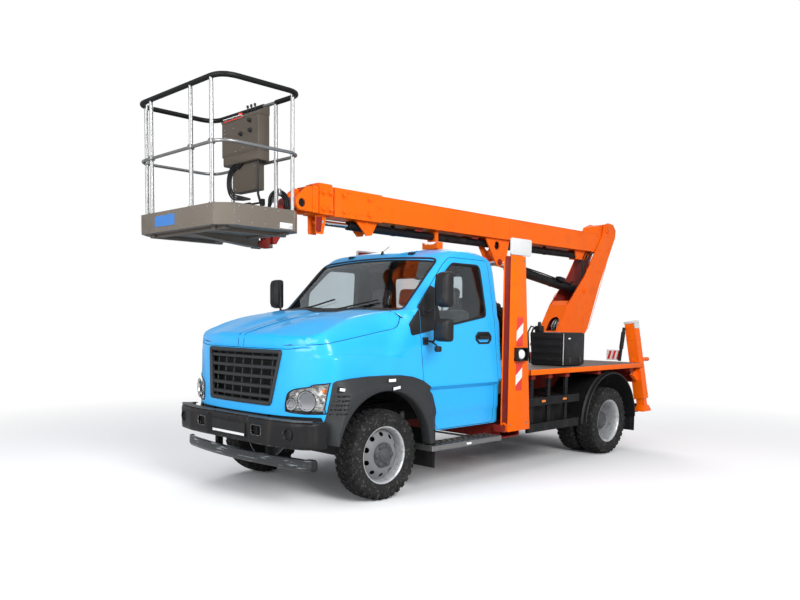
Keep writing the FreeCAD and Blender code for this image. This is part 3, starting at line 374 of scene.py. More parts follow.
def make_materials():
    for name, color, roughness, dirt, wear, *wear_color in (
        ("orange_paint", (0.98, 0.138, 0.0005), 0.36, 0.10, 0.7),
        ("red_paint", (0.26, 0.022, 0.015), 0.45, 0.35, 0.6),
        ("frame_black", (0.009, 0.009, 0.010), 0.42, 0.12, 0.8, (0.22, 0.21, 0.2)),
        ("basket_grey", (0.145, 0.125, 0.103), 0.45, 0.5, 0.8, (0.5, 0.48, 0.45)),
        ("bumper_grey", (0.015, 0.015, 0.016), 0.34, 0.12, 1.0, (0.45, 0.43, 0.4)),
        ("scuffed", (0.06, 0.06, 0.058), 0.4, 0.3, 1.0, (0.6, 0.58, 0.54)),
        ("foot_grey", (0.66, 0.67, 0.66), 0.42, 0.7, 0.8),
        ("deck_steel", (0.17, 0.155, 0.14), 0.5, 0.8, 0.8, (0.4, 0.38, 0.36)),
    ):
        painted_steel(name, color, roughness, dirt, wear, *wear_color)
    for name, color in (("marker_white", (0.85, 0.86, 0.86)), ("amber", (0.9, 0.22, 0.01)),
                        ("lens_red", (0.45, 0.01, 0.01)), ("stripe_red", (0.72, 0.03, 0.015)),
                        ("stripe_white", (0.82, 0.82, 0.8))):
        glossy_marker(name, color)
    for name, color in (("trim_grey", (0.50, 0.50, 0.49)), ("dash_grey", (0.045, 0.046, 0.05)),
                        ("box_tan", (0.095, 0.078, 0.060)), ("sign_blue", (0.05, 0.19, 0.52)),
                        ("pad_black", (0.004, 0.0045, 0.0045)), ("grille_grey", (0.031, 0.033, 0.035)),
                        ("hub_grey", (0.075, 0.075, 0.08)), ("disc_grey", (0.19, 0.19, 0.195)),
                        ("deep_blue", (0.006, 0.075, 0.20)), ("corner_grey", (0.30, 0.285, 0.265))):
        matt_trim(name, color)
    cab_paint()
    plastics()
    rubber_and_fabric()
    bare_metals()
    glasses()


make_materials()
# ---------------------------------------------------------------- mesh helpers
ORIGIN = (0, 0, 0)
FAR = 3.6  # how far in front of a surface the rays that look for it start


def unit(vector):
    return Vector(vector).normalized()


class Mesh:
    """Collects vertices and faces of one piece; each face keeps the index of its material."""

    def __init__(self):
        self.points = []
        self.faces = []
        self.paints = []

    def add(self, points, faces, paint=0):
        start = len(self.points)
        self.points += [tuple(p) for p in points]
        self.faces += [tuple(start + i for i in face) for face in faces]
        self.paints += [paint] * len(faces)
        return self

    def box(self, low, high, paint=0, turn=None):
        xs, ys, zs = zip(low, high)
        corners = [Vector((x, y, z)) for z in zs for y in ys for x in xs]
        if turn is not None:
            centre = (Vector(low) + Vector(high)) / 2
            corners = [centre + turn @ (c - centre) for c in corners]
        faces = [(0, 2, 3, 1), (4, 5, 7, 6), (0, 1, 5, 4), (2, 6, 7, 3), (0, 4, 6, 2), (1, 3, 7, 5)]
        return self.add(corners, faces, paint)

    def block(self, low, high, paint=0):
        """The solid between two loops of equal length."""
        n = len(low)
        faces = [tuple(reversed(range(n))), tuple(range(n, 2 * n))]
        faces += [(i, (i + 1) % n, n + (i + 1) % n, n + i) for i in range(n)]
        return self.add(list(low) + list(high), faces, paint)

    def prism(self, outline, axis, low, high, paint=0):
        """Extrudes a flat outline along X, Y or Z; its points are the other two coordinates in order."""
        k = "XYZ".index(axis)
        return self.block(*([(*p[:k], level, *p[k:]) for p in outline] for level in (low, high)), paint)

    def loft(self, rings, closed=True, caps=True, paint=0):
        """Joins rings of equal length by quads."""
        n = len(rings[0])
        points = [p for ring in rings for p in ring]
        faces = []
        for r in range(len(rings) - 1):
            for i in range(n if closed else n - 1):
                j = (i + 1) % n
                faces.append((r * n + i, r * n + j, (r + 1) * n + j, (r + 1) * n + i))
        if caps and closed:
            faces.append(tuple(reversed(range(n))))
            last = (len(rings) - 1) * n
            faces.append(tuple(range(last, last + n)))
        return self.add(points, faces, paint)

    def lathe(self, profile, centre, axis="Y", segments=48, paint=0, closed=False):
        """Turns (along, radius) points about an axis through the centre."""
        cx, cy, cz = centre
        rings = []
        for along, radius in profile:
            ring = []
            for i in range(segments):
                a = 2 * math.pi * i / segments
                u, v = radius * math.cos(a), radius * math.sin(a)
                ring.append({"X": (cx + along, cy + u, cz + v), "Y": (cx + u, cy + along, cz + v),
                             "Z": (cx + u, cy + v, cz + along)}[axis])
            rings.append(ring)
        if closed:
            rings.append(rings[0])
        return self.loft(rings, caps=not closed, paint=paint)

    def tube(self, path, radius, sides=10, closed=False, paint=0, flat=1.0, up=None):
        """Sweeps a circle, or an ellipse flattened across `up`, along the points of a path."""
        path = [Vector(p) for p in path]
        n = len(path)
        radii = radius if isinstance(radius, (list, tuple)) else [radius] * n
        rings = []
        side = None
        for i, p in enumerate(path):
            before = path[i - 1] if (i > 0 or closed) else p
            after = path[(i + 1) % n] if (i < n - 1 or closed) else p
            forward = (after - before).normalized()
            if up is not None:
                side = forward.cross(Vector(up)).normalized()
            elif side is None:
                side = forward.orthogonal().normalized()
            else:
                side = (side - forward * side.dot(forward)).normalized()
            other = forward.cross(side)
            ring = []
            for k in range(sides):
                a = 2 * math.pi * k / sides
                ring.append(p + side * (radii[i] * math.cos(a)) + other * (radii[i] * flat * math.sin(a)))
            rings.append(ring)
        if closed:
            rings.append(rings[0])
        return self.loft(rings, caps=not closed, paint=paint)

    def moved(self, place):
        """The same mesh with every point put where `place` says."""
        self.points = [tuple(place(p)) for p in self.points]
        return self

    def mirrored(self):
        other = Mesh()
        other.points = [(x, -y, z) for x, y, z in self.points]
        other.faces = [tuple(reversed(face)) for face in self.faces]
        other.paints = list(self.paints)
        return other

    def joined(self, other):
        start = len(self.points)
        self.points += other.points
        self.faces += [tuple(start + i for i in face) for face in other.faces]
        self.paints += other.paints
        return self


def build(name, mesh, paints, body="chassis", slot=None, bevel=0.0, segments=2, thickness=0.0, crease=35,
          replaces=(), merge=0.0, inner=0):
    """Makes the object of one piece, with its edges bevelled and its smooth faces shaded smooth."""
    paints = paints.split()
    data = bpy.data.meshes.new(name)
    data.from_pydata(mesh.points, [], mesh.faces)
    data.polygons.foreach_set("material_index", mesh.paints)
    for paint in paints:
        data.materials.append(MATERIALS[paint])
    work = bmesh.new()
    work.from_mesh(data)
    if merge:
        bmesh.ops.remove_doubles(work, verts=work.verts, dist=merge)
    bmesh.ops.recalc_face_normals(work, faces=work.faces)
    work.to_mesh(data)
    work.free()
    piece = link(data)
    if thickness:
        modifier = piece.modifiers.new("thickness", "SOLIDIFY")
        modifier.thickness = thickness
        modifier.offset = -1
        modifier.material_offset = modifier.material_offset_rim = inner
    if bevel:
        modifier = piece.modifiers.new("bevel", "BEVEL")
        modifier.width = bevel
        modifier.segments = segments
        modifier.limit_method = "ANGLE"
        modifier.angle_limit = math.radians(crease)
        modifier.use_clamp_overlap = True
    if piece.modifiers:
        graph = bpy.context.evaluated_depsgraph_get()
        piece.data = bpy.data.meshes.new_from_object(piece.evaluated_get(graph))
        piece.modifiers.clear()
    piece.data.shade_smooth()
    piece.data.set_sharp_from_angle(angle=math.radians(crease))
    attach(piece, body)
    if replaces:
        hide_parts(*replaces)
    return piece


def flips(sign):
    return (lambda mesh: mesh) if sign > 0 else (lambda mesh: mesh.mirrored())


def both(name, mesh, paints, body="chassis", replaces=(), **looks):
    """The left piece and its mirror image; `body` and `replaces` take the side's name where they hold {}."""
    for side, sign in SIDES:
        build(name + "_" + side, flips(sign)(mesh), paints, body.format(side),
              replaces=[node.format(side) for node in replaces], **looks)


def rounded_outline(corners, steps=6):
    """Closed outline through (x, y, radius) corners, each rounded by its own radius."""
    points = []
    n = len(corners)
    for i, (x, y, radius) in enumerate(corners):
        here = Vector((x, y))
        before = Vector(corners[i - 1][:2])
        after = Vector(corners[(i + 1) % n][:2])
        a, b = (before - here), (after - here)
        if radius <= 0:
            points.append((x, y))
            continue
        half = a.angle(b) / 2
        reach = min(radius / math.tan(half), 0.49 * a.length, 0.49 * b.length)
        start, end = here + a.normalized() * reach, here + b.normalized() * reach
        for k in range(steps + 1):
            t = k / steps
            p = start * (1 - t) ** 2 + here * 2 * t * (1 - t) + end * t * t
            points.append((p.x, p.y))
    return points


def rounded_rectangle(x0, y0, x1, y1, radius, steps=6):
    return rounded_outline([(x0, y0, radius), (x1, y0, radius), (x1, y1, radius), (x0, y1, radius)], steps)


def arc(centre, radius, start, end, count, stretch=(1, 1)):
    """Evenly spaced points of a circle between two angles in degrees, counted from its first axis."""
    return [(centre[0] + radius * stretch[0] * math.cos(a), centre[1] + radius * stretch[1] * math.sin(a))
            for a in np.radians(np.linspace(start, end, count))]


def ring_points(radius, count, centre=(0, 0), turn=0.0):
    return [(centre[0] + radius * math.cos(turn + 2 * math.pi * i / count),
             centre[1] + radius * math.sin(turn + 2 * math.pi * i / count)) for i in range(count)]


def dense(points, step, closed=True):
    """Adds points so that no run of the outline is longer than the step."""
    result = []
    n = len(points)
    for i in range(n if closed else n - 1):
        a, b = np.array(points[i], float), np.array(points[(i + 1) % n], float)
        count = max(1, int(np.ceil(np.linalg.norm(b - a) / step)))
        result += [tuple(a + (b - a) * k / count) for k in range(count)]
    if not closed:
        result.append(tuple(points[-1]))
    return result


def inside(points, outline):
    """Which of the flat points lie inside the closed outline."""
    x, y = points[:, 0], points[:, 1]
    result = np.zeros(len(points), bool)
    ox, oy = np.array(outline, float).T
    px, py = np.roll(ox, 1), np.roll(oy, 1)
    for x0, y0, x1, y1 in zip(px, py, ox, oy):
        if y0 == y1:
            continue
        crossing = ((y0 > y) != (y1 > y)) & (x < (x1 - x0) * (y - y0) / (y1 - y0) + x0)
        result ^= crossing
    return result


def smooth_max(a, b, radius):
    h = np.maximum(radius - np.abs(a - b), 0) / radius
    return np.maximum(a, b) + h * h * radius / 4


def smooth_min(a, b, radius):
    return -smooth_max(-a, -b, radius)


def ease(x, low, high):
    t = np.clip((x - low) / (high - low), 0, 1)
    return t * t * (3 - 2 * t)


class Plane:
    """A flat map of a stretch of surface: points are (u, v), and the surface is met along the normal."""

    def __init__(self, u, v):
        self.u, self.v = np.array(unit(u)), np.array(unit(v))
        self.n = np.cross(self.u, self.v)

    def flat(self, points):
        points = np.asarray(points, float)
        return [tuple(p) for p in np.stack([points @ self.u, points @ self.v], axis=1)]

    def lifted(self, points):
        """Flat points put in space, in front of any surface."""
        points = np.asarray(points, float)
        return points[:, :1] * self.u + points[:, 1:] * self.v + self.n * FAR


SIDE_PLANE = Plane((-1, 0, 0), (0, 0, 1))
TOP_PLANE = Plane((0, 1, 0), (-1, 0, 0))
FRONT_PLANE = Plane((0, 1, 0), (0, 0, 1))
REAR_PLANE = Plane((0, -1, 0), (0, 0, 1))


def meet(field, starts, direction, reach=3.0, steps=160):
    """Where rays from outside first meet the surface field = 0, along one direction or one for each start."""
    starts = np.asarray(starts, float)
    direction = np.asarray(direction, float)
    direction = direction / np.linalg.norm(direction, axis=-1, keepdims=True)
    low = np.zeros(len(starts))
    high = np.full(len(starts), float(reach))
    found = np.zeros(len(starts), bool)
    for k in range(1, steps + 1):
        t = reach * k / steps
        value = field(*(starts + direction * t).T)
        hit = (value <= 0) & ~found
        high[hit] = t
        low[hit] = reach * (k - 1) / steps
        found |= hit
    for _ in range(22):
        middle = (low + high) / 2
        outside = field(*(starts + direction * middle[:, None]).T) > 0
        low = np.where(outside, middle, low)
        high = np.where(outside, high, middle)
    return starts + direction * ((low + high) / 2)[:, None]


def patch(field, plane, outline, holes=(), spacing=0.04, offset=0.0, rows=(), crease=None):
    """A mesh of the surface inside a closed outline of (u, v) points, less the holes.

    Rows are extra columns of points at given u, and crease is a list of extra points along a fold.
    """
    outline = np.array(outline, float)
    loops = [outline] + [np.array(h, float) for h in holes]
    low, high = outline.min(0), outline.max(0)
    us = np.arange(low[0], high[0], spacing) + spacing / 2
    vs = np.arange(low[1], high[1], spacing) + spacing / 2
    grid = np.array([(u, v) for v in vs for u in us])
    grid = np.vstack([grid] + [np.array([(u, v) for v in vs]) for u in rows]) if len(rows) else grid
    if crease is not None:
        gaps = [np.linalg.norm(grid - point, axis=1) for point in crease[::2]]
        grid = np.vstack([grid[np.min(gaps, axis=0) > 0.018], crease])
    border = np.vstack(loops)
    near = np.ones(len(grid), bool)
    for start in range(0, len(border), 64):
        gap = np.linalg.norm(grid[:, None] - border[None, start:start + 64], axis=2).min(1)
        near &= gap > (0.35 * spacing if crease is None else 0.008)
    grid = grid[near & inside(grid, outline)]
    flat, faces = triangulated(loops, grid, 1e-5)
    placed = meet(field, plane.lifted(flat), -plane.n, reach=FAR + 1.5, steps=220)
    if offset:
        placed = placed + normals(field, placed) * offset
    return only_used(placed, faces)


def triangulated(loops, inner, tolerance):
    """Triangles inside the first closed loop of flat points and outside the others, through inner points."""
    edges = []
    start = 0
    for loop in loops:
        edges += [(start + i, start + (i + 1) % len(loop)) for i in range(len(loop))]
        start += len(loop)
    points = [Vector(p) for p in np.vstack(loops + [inner])]
    flat, _, faces, _, _, _ = delaunay_2d_cdt(points, edges, [], 0, tolerance)
    flat = np.array([tuple(p) for p in flat])
    faces = np.array([tuple(f) for f in faces])
    middle = flat[faces].mean(1)
    keep = inside(middle, loops[0])
    for hole in loops[1:]:
        keep &= ~inside(middle, hole)
    return flat, faces[keep]


def only_used(points, faces):
    """The points that the faces use, and the faces counted among them."""
    used = np.unique(faces)
    index = np.full(len(points), -1)
    index[used] = np.arange(len(used))
    return points[used], [tuple(int(index[i]) for i in f) for f in faces]


def normals(field, points):
    step = 0.002
    x, y, z = np.asarray(points, float).T
    n = np.stack([field(x + step, y, z) - field(x - step, y, z), field(x, y + step, z)
                  - field(x, y - step, z), field(x, y, z + step) - field(x, y, z - step)], axis=1)
    return n / np.linalg.norm(n, axis=1)[:, None]


# ---------------------------------------------------------------- cab surface
DOOR_FRONT_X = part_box("door_left")[1].x
CAB_REAR_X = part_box("cab_shell")[0].x
HALF_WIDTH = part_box("cab_shell")[1].y
NOSE_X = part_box("cab_shell")[1].x
ROOF_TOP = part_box("cab_shell")[1].z
ARCH_X, ARCH_Z = 2.075, 0.43  # the middle of the wheel opening
SILL_Z = 0.575
PANEL_GAP = 0.005  # round the doors and the bonnet
BONNET_REAR_HALF = 0.868  # half the bonnet's width at its rear edge
SCREEN_PLANE = Plane((0, 1, 0), (-0.704, 0, 0.71))
BONNET_PLANE = Plane((0, 1, 0), (-0.89, 0, 0.456))


def softly(x, width):
    return 0.5 * (x + np.sqrt(x * x + width * width))


def swage_height(x):
    return 1.312 - 0.46 * np.maximum(1.95 - x, 0) ** 1.5


def lower_body(x, y, z):
    y = np.abs(y)
    swage = swage_height(x)
    bulge = 0.044 * (1 - ease(z - swage, -0.020, 0.014)) * ease(x, 1.55, 2.10)
    side = HALF_WIDTH - 0.004 - 0.09 * np.maximum(z - 1.15, 0) ** 2 - 0.014 * (1 - ease(z, 0.70, 0.76))
    side = side - 0.012 * ease(x, 1.5, 1.75) + bulge - 0.055 * np.maximum(x - 1.95, 0) ** 2
    side = side - 0.52 * softly(z - 1.385, 0.05) * ease(x, 1.58, 2.08)
    t = x - 1.8
    spine = 0.007 * (1 - ease(y, 0.035, 0.055)) * ease(x, 1.85, 2.1)
    shoulder = 0.020 * ease(y, 0.20, 0.36) * (1 - ease(x, 2.35, 2.85)) - 0.012 * ease(y, 0.45, 0.80)
    shoulder = shoulder - 0.030 * ease(y, 0.25, 0.80) * ease(x, 2.25, 2.80)
    top = 1.700 - 0.10 * t - 0.105 * t * t + spine + shoulder
    front = NOSE_X - 0.004 - 0.08 * (z - 0.87) - 0.12 * (y / 0.9) ** 2.5
    rear = CAB_REAR_X + 0.003 - x
    shape = smooth_max(y - side, x - front, 0.10)
    shape = smooth_max(shape, 0.822 * (x - 2.93) + 0.569 * (y - 0.605), 0.08)
    shape = smooth_max(shape, (z - top) * 0.97, 0.036)
    return smooth_max(shape, rear, 0.05)


def greenhouse(x, y, z):
    y = np.abs(y)
    side = y - (1.016 - 0.126 * (z - 1.52) - 0.06 * np.maximum(z - 1.8, 0) ** 2)
    roof = z - (ROOF_TOP - 0.004 - 0.35 * (x - 0.8) ** 2 - 0.03 * (y / 0.9) ** 2)
    screen = ((x - 1.785) + 0.991 * (z - 1.68)) / 1.408 + 0.05 * (y / 0.85) ** 2
    rear = CAB_REAR_X + 0.003 + 0.05 * softly(z - 1.8, 0.08) - x
    shape = smooth_max(side, roof, 0.11)
    shape = smooth_max(shape, screen, 0.10)
    shape = smooth_max(shape, rear, 0.06)
    return np.maximum(shape, 1.0 - z)


def cab_field(x, y, z):
    return smooth_min(lower_body(x, y, z), greenhouse(x, y, z), 0.035)


def skin(plane, outline, holes=(), **details):
    """A piece of the cab's surface."""
    return Mesh().add(*patch(cab_field, plane, outline, holes, **details))


def on_side(points):
    """Points (x, z) put on the cab's left side."""
    points = np.array(points, float)
    starts = np.stack([points[:, 0], np.full(len(points), 1.6), points[:, 1]], axis=1)
    return meet(cab_field, starts, (0, -1, 0))


def ray_edge(ray_a, ray_b, count, bow=(0, 0, 0)):
    """The surface's curve between two rays (start, direction), spaced evenly."""
    t = np.linspace(0, 1, count)[:, None]
    starts = np.array(ray_a[0]) * (1 - t) + np.array(ray_b[0]) * t + np.array(bow) * 4 * t * (1 - t)
    ways = np.array(ray_a[1], float) * (1 - t) + np.array(ray_b[1], float) * t
    ways = ways / np.linalg.norm(ways, axis=1)[:, None]
    return meet(cab_field, starts, ways)


SHUT_LINE = [(2.83, 1.392), (1.93, 1.534)]
SHUT_CORNER = [(1.87, 1.546), (1.835, 1.568), (1.81, 1.60), (1.79, 1.645)]


def shut_side(gap):
    """The bonnet's edge on the left side, from the nose back to the windscreen's corner."""
    line = dense([(x, z - gap) for x, z in SHUT_LINE], 0.025, closed=False)
    corner = [(x - gap, z - gap * 0.6) for x, z in SHUT_CORNER]
    return on_side(line + dense(corner, 0.02, closed=False))


def nose_corner(z0, z1, count):
    return ray_edge(((2.6 + 0.5, 0.73 + 0.5, z0), (-1, -1, 0)), ((2.6 + 0.5, 0.73 + 0.5, z1), (-1, -1, 0)),
                    count)


NOSE_BOTTOM_Z = 0.800
FRONT_SHUT_Z = 1.366


def shut_front(gap):
    """The bonnet's edge across the front, from the left corner to the middle."""
    corner = nose_corner(FRONT_SHUT_Z - gap + 0.016, FRONT_SHUT_Z - gap + 0.016, 2)[0]
    ys = np.linspace(corner[1], 0, 34)
    zs = corner[2] + (FRONT_SHUT_Z - gap - corner[2]) * ease(-ys, -0.8, -0.6)
    starts = np.stack([np.full(34, 3.2), ys, zs], axis=1)
    return meet(cab_field, starts, (-1, 0, 0))


RAY_REAR_ROOF = ((CAB_REAR_X - 0.25, 1.35, 2.75), (0.5, -0.8, -0.8))
RAY_ROOF_CORNER = ((1.62, 1.45, 2.85), (-0.55, -0.75, -0.85))
RAY_SCREEN_TOP = ((1.62, 0.0, 2.85), (-0.55, 0, -0.85))
RAY_PILLAR_BASE = ((2.15, 1.45, 2.0), (-0.6, -0.75, -0.55))
RAY_REAR_TOP = ((CAB_REAR_X - 0.25, 0.0, 2.75), (0.6, 0, -0.8))
RAY_REAR_SILL = ((CAB_REAR_X - 0.3, 1.4, 0.575), (0.6, -0.8, 0))
RAY_REAR_BELT = ((CAB_REAR_X - 0.3, 1.4, 1.6), (0.6, -0.8, 0))

DOOR_OPENING = rounded_outline([(DOOR_FRONT_X + 0.006, 1.06, 0.02), (DOOR_FRONT_X + 0.006, 1.742, 0.02),
                                (1.190, 2.156, 0.10), (1.084, 2.238, 0.12), (0.500, 2.238, 0.07),
                                (0.474, 1.800, 0.3), (0.474, 0.581, 0.05), (1.336, 0.581, 0.02),
                                (1.430, 0.760, 0.1), (1.506, 0.900, 0.1)])
WINDOW = rounded_outline([(1.335, 1.555, 0.03), (1.335, 1.925, 0.02), (1.140, 2.112, 0.10),
                          (1.055, 2.176, 0.10), (0.640, 2.176, 0.06), (0.602, 1.672, 0.06)])
SCREEN_OPENING = rounded_outline([
    (-0.868, -0.01, 0.09), (0.868, -0.01, 0.09), (0.842, 0.748, 0.08), (-0.842, 0.748, 0.08)], 10)
REAR_OPENING = rounded_rectangle(-0.52, 1.72, 0.52, 2.11, 0.06)
GRILLE_OPENING = rounded_outline([
    (-0.478, 0.872, 0.05), (0.478, 0.872, 0.05), (0.572, 1.356, 0.03), (-0.572, 1.356, 0.03)])


def grown(outline, by):
    """A closed outline moved outward by a distance."""
    points = np.array(outline, float)
    along = np.roll(points, -1, 0) - np.roll(points, 1, 0)
    along /= np.linalg.norm(along, axis=1)[:, None]
    area = np.sum(points[:, 0] * np.roll(points[:, 1], -1) - np.roll(points[:, 0], -1) * points[:, 1])
    out = np.stack([along[:, 1], -along[:, 0]], axis=1) * (1 if area > 0 else -1)
    return points + out * by


def on_front(points):
    points = np.array(points, float)
    starts = np.stack([np.full(len(points), 3.3), points[:, 0], points[:, 1]], axis=1)
    return meet(cab_field, starts, (-1, 0, 0))


def door_xz(points):
    """(x, z) points as the side plane's (u, v)."""
    return [(-x, z) for x, z in points]


def roof_panel(roof_edge, screen_top, rear_top):
    middle_xs = np.linspace(rear_top[0][0], screen_top[0][0], 24)[1:-1]
    middle = meet(cab_field, [(x, 0, 3.0) for x in middle_xs], (0, 0, -1))
    border = np.vstack([rear_top, roof_edge[1:], screen_top[::-1][1:], middle[::-1]])
    return skin(TOP_PLANE, TOP_PLANE.flat(border), spacing=0.05)


def screen_frame(screen_top, pillar):
    border = SCREEN_PLANE.flat(np.vstack([screen_top, pillar[1:]]))
    cowl = (0.0, -0.095)
    border += dense([border[-1], (0.80, -0.105), cowl], 0.03, closed=False)[1:]
    border += dense([cowl, border[0]], 0.03, closed=False)[1:-1]
    return skin(SCREEN_PLANE, border, [dense(SCREEN_OPENING, 0.02)], spacing=0.035)


def side_panel(roof_edge, pillar, corner, rear_corner, lamp):
    """The body side, with the door's hole and rows of points along the swage line."""
    shut = shut_side(PANEL_GAP)
    arch_end = (2.70, NOSE_BOTTOM_Z)
    below = dense([(corner[0][0], NOSE_BOTTOM_Z), arch_end], 0.02, closed=False)[1:-1]
    sill = dense([(1.44, SILL_Z), (0.43, SILL_Z)], 0.03, closed=False)[:-1]
    border = SIDE_PLANE.flat(np.vstack([roof_edge, pillar[1:]]))
    border += dense(SIDE_PLANE.flat([pillar[-1], shut[-1]]), 0.02, closed=False)[1:]
    border += SIDE_PLANE.flat(np.vstack([shut[::-1][1:], corner[::-1]]))
    border += door_xz(below + [arch_end] + arc((ARCH_X, ARCH_Z), 0.6, 20, 166, 44) + sill)
    border += SIDE_PLANE.flat(rear_corner)
    swage = np.array([(-x, swage_height(x) + step) for x in np.arange(1.62, 2.90, 0.02)
                      for step in (-0.026, -0.018, -0.010, -0.003, 0.004, 0.011, 0.018)])
    holes = [door_xz(dense(DOOR_OPENING, 0.02)), SIDE_PLANE.flat(lamp)]
    return skin(SIDE_PLANE, border, holes, spacing=0.04, crease=swage)


def nose_panel(corner, lamp):
    border = FRONT_PLANE.flat(np.vstack([corner, shut_front(PANEL_GAP)[1:]]))
    border += dense([(0.0, FRONT_SHUT_Z - PANEL_GAP), (0.0, NOSE_BOTTOM_Z)], 0.03, closed=False)[1:]
    border += dense([(0.0, NOSE_BOTTOM_Z), (corner[0][1], NOSE_BOTTOM_Z)], 0.03, closed=False)[1:-1]
    return skin(FRONT_PLANE, border, [dense(GRILLE_OPENING, 0.02), FRONT_PLANE.flat(lamp)], spacing=0.035)


def rear_wall(rear_corner, rear_top):
    border = REAR_PLANE.flat(np.vstack([rear_corner, rear_top[::-1][1:]]))
    border += dense([border[-1], (0.0, SILL_Z)], 0.04, closed=False)[1:]
    border += dense([(0.0, SILL_Z), border[0]], 0.04, closed=False)[1:-1]
    return skin(REAR_PLANE, border, [[(-y, z) for y, z in dense(REAR_OPENING, 0.03)]], spacing=0.06)


def half_shell():
    """The left half of the cab's fixed panels."""
    roof_edge = ray_edge(RAY_REAR_ROOF, RAY_ROOF_CORNER, 30)
    pillar = ray_edge(RAY_ROOF_CORNER, RAY_PILLAR_BASE, 36)
    screen_top = ray_edge(RAY_SCREEN_TOP, RAY_ROOF_CORNER, 36)
    rear_top = ray_edge(RAY_REAR_TOP, RAY_REAR_ROOF, 36)
    rear_corner = np.vstack([ray_edge(RAY_REAR_SILL, RAY_REAR_BELT, 40),
                             ray_edge(RAY_REAR_BELT, RAY_REAR_ROOF, 30)[1:]])
    corner = nose_corner(NOSE_BOTTOM_Z, shut_front(PANEL_GAP)[0][2], 40)
    lamp = lamp_hole()
    mesh = roof_panel(roof_edge, screen_top, rear_top).joined(screen_frame(screen_top, pillar))
    mesh.joined(side_panel(roof_edge, pillar, corner, rear_corner, lamp))
    return mesh.joined(nose_panel(corner, lamp)).joined(rear_wall(rear_corner, rear_top))


def lamp_hole():
    """The left headlamp's outline as points on the surface, wrapped round the nose's corner."""
    ahead, slanting, sideways = (-1, 0, 0), (-1, -1, 0), (0, -1, 0)
    rays = [  # start on the lamp's level, direction
        ((3.2, 0.636, 0.836), ahead), ((3.2, 0.640, 0.94), ahead), ((3.2, 0.656, 1.000), ahead),
        ((3.2, 0.720, 1.032), ahead), ((3.15, 0.860, 1.055), ahead), ((3.1, 1.23, 1.074), slanting),
        ((2.655, 1.6, 1.096), sideways), ((2.672, 1.6, 0.96), sideways), ((2.688, 1.6, 0.838), sideways),
        ((3.1, 1.23, 0.828), slanting), ((3.15, 0.80, 0.828), ahead)]
    return np.vstack([ray_edge(a, b, 7)[:-1] for a, b in zip(rays, rays[1:] + rays[:1])])


def whole(left):
    """The left half with its mirror image."""
    return left.mirrored().joined(left)


def make_cab_shell():
    build("cab_body", whole(half_shell()), "cab_paint dash_grey", bevel=0.003, thickness=0.03, crease=45,
          replaces=["cab_shell"], merge=0.0015, inner=1)


def make_doors():
    outline = door_xz(grown(dense(DOOR_OPENING, 0.02), -PANEL_GAP))
    panel = skin(SIDE_PLANE, outline, [door_xz(dense(WINDOW, 0.02))], spacing=0.04)
    both("door_skin", panel, "cab_paint dash_grey", "door_{}", bevel=0.004, thickness=0.045, crease=45,
         replaces=["door_{}"], inner=1)


def bonnet_line(x, bow, ys):
    """Where a line across the bonnet lies: at x in the middle and bowed back toward its ends."""
    return meet(cab_field, [(x - bow * (y / BONNET_REAR_HALF) ** 2, y, 2.4) for y in ys], (0, 0, -1))


def bonnet_half():
    rear = bonnet_line(1.852, 0.062, np.linspace(0, BONNET_REAR_HALF, 26))
    side = shut_side(0.0)[::-1]
    front = shut_front(0.0)
    outline = BONNET_PLANE.flat(np.vstack([rear, side, front]))
    outline += dense([outline[-1], outline[0]], 0.03, closed=False)[1:-1]
    return skin(BONNET_PLANE, outline, spacing=0.035, rows=[0.03, 0.036, 0.042, 0.048, 0.055, 0.065])


def make_bonnet():
    build("bonnet_skin", whole(bonnet_half()), "cab_paint", "bonnet", bevel=0.004, thickness=0.02,
          crease=45, replaces=["bonnet"], merge=0.0015)


def make_glass():
    screen = skin(SCREEN_PLANE, grown(dense(SCREEN_OPENING, 0.03), 0.004), spacing=0.06, offset=-0.009)
    rear = skin(REAR_PLANE, dense(REAR_OPENING, 0.05), spacing=0.08, offset=-0.008)
    build("windscreen_glass", screen.joined(rear), "glass", thickness=0.005, replaces=["cab_glass"])
    outline = door_xz(grown(dense(WINDOW, 0.03), 0.004))
    both("door_glass", skin(SIDE_PLANE, outline, spacing=0.06, offset=-0.012), "glass", "door_{}",
         thickness=0.004)


def seal(outline, plane, radius, flat=0.55, lift=0.002):
    """A rubber strip along an outline on the cab's surface."""
    placed = meet(cab_field, plane.lifted(dense(outline, 0.02)), -plane.n, reach=5.0, steps=220)
    path = placed + normals(cab_field, placed) * lift
    return Mesh().tube(path, radius, 8, closed=True, up=plane.n, flat=flat)


def sunk(points, depth, radius, closed=False):
    """A dark line lying in the gap between two panels, as painted shade."""
    points = np.array(points, float)
    return Mesh().tube(points - normals(cab_field, points) * depth, radius, 6, closed=closed, up=(0, 0, 1))


def make_gap_shade():
    # Near-black lines sunk into the bonnet's shut line and round the door: painted shade in the gaps.
    side = shut_side(PANEL_GAP / 2)
    front = shut_front(PANEL_GAP / 2)
    lines = sunk(np.vstack([side[::-1], front[1:]]), 0.006, 0.0045)
    door = on_side(grown(dense(DOOR_OPENING, 0.02), -PANEL_GAP / 2))
    lines.joined(sunk(door, 0.007, 0.0045, closed=True))
    build("panel_gaps", Mesh().joined(lines).joined(lines.mirrored()), "pad_black")
    # Dark blue lines along both edges of the bonnet's raised spine: painted shade in its creases.
    spine = Mesh()
    xs = np.linspace(2.88, 2.12, 40)
    for y in (0.043, -0.043):
        path = meet(cab_field, [(3.2, y, z) for z in np.linspace(1.372, 1.43, 6)], (-1, 0, 0))
        above = meet(cab_field, [(x, y, 2.4) for x in xs], (0, 0, -1))
        path = np.vstack([path, above[above[:, 2] > 1.435]])
        spine.tube(path, [0.0032] * (len(path) - 12) + list(np.linspace(0.0032, 0.0006, 12)), 6)
    build("bonnet_spine_lines", spine, "deep_blue", "bonnet")


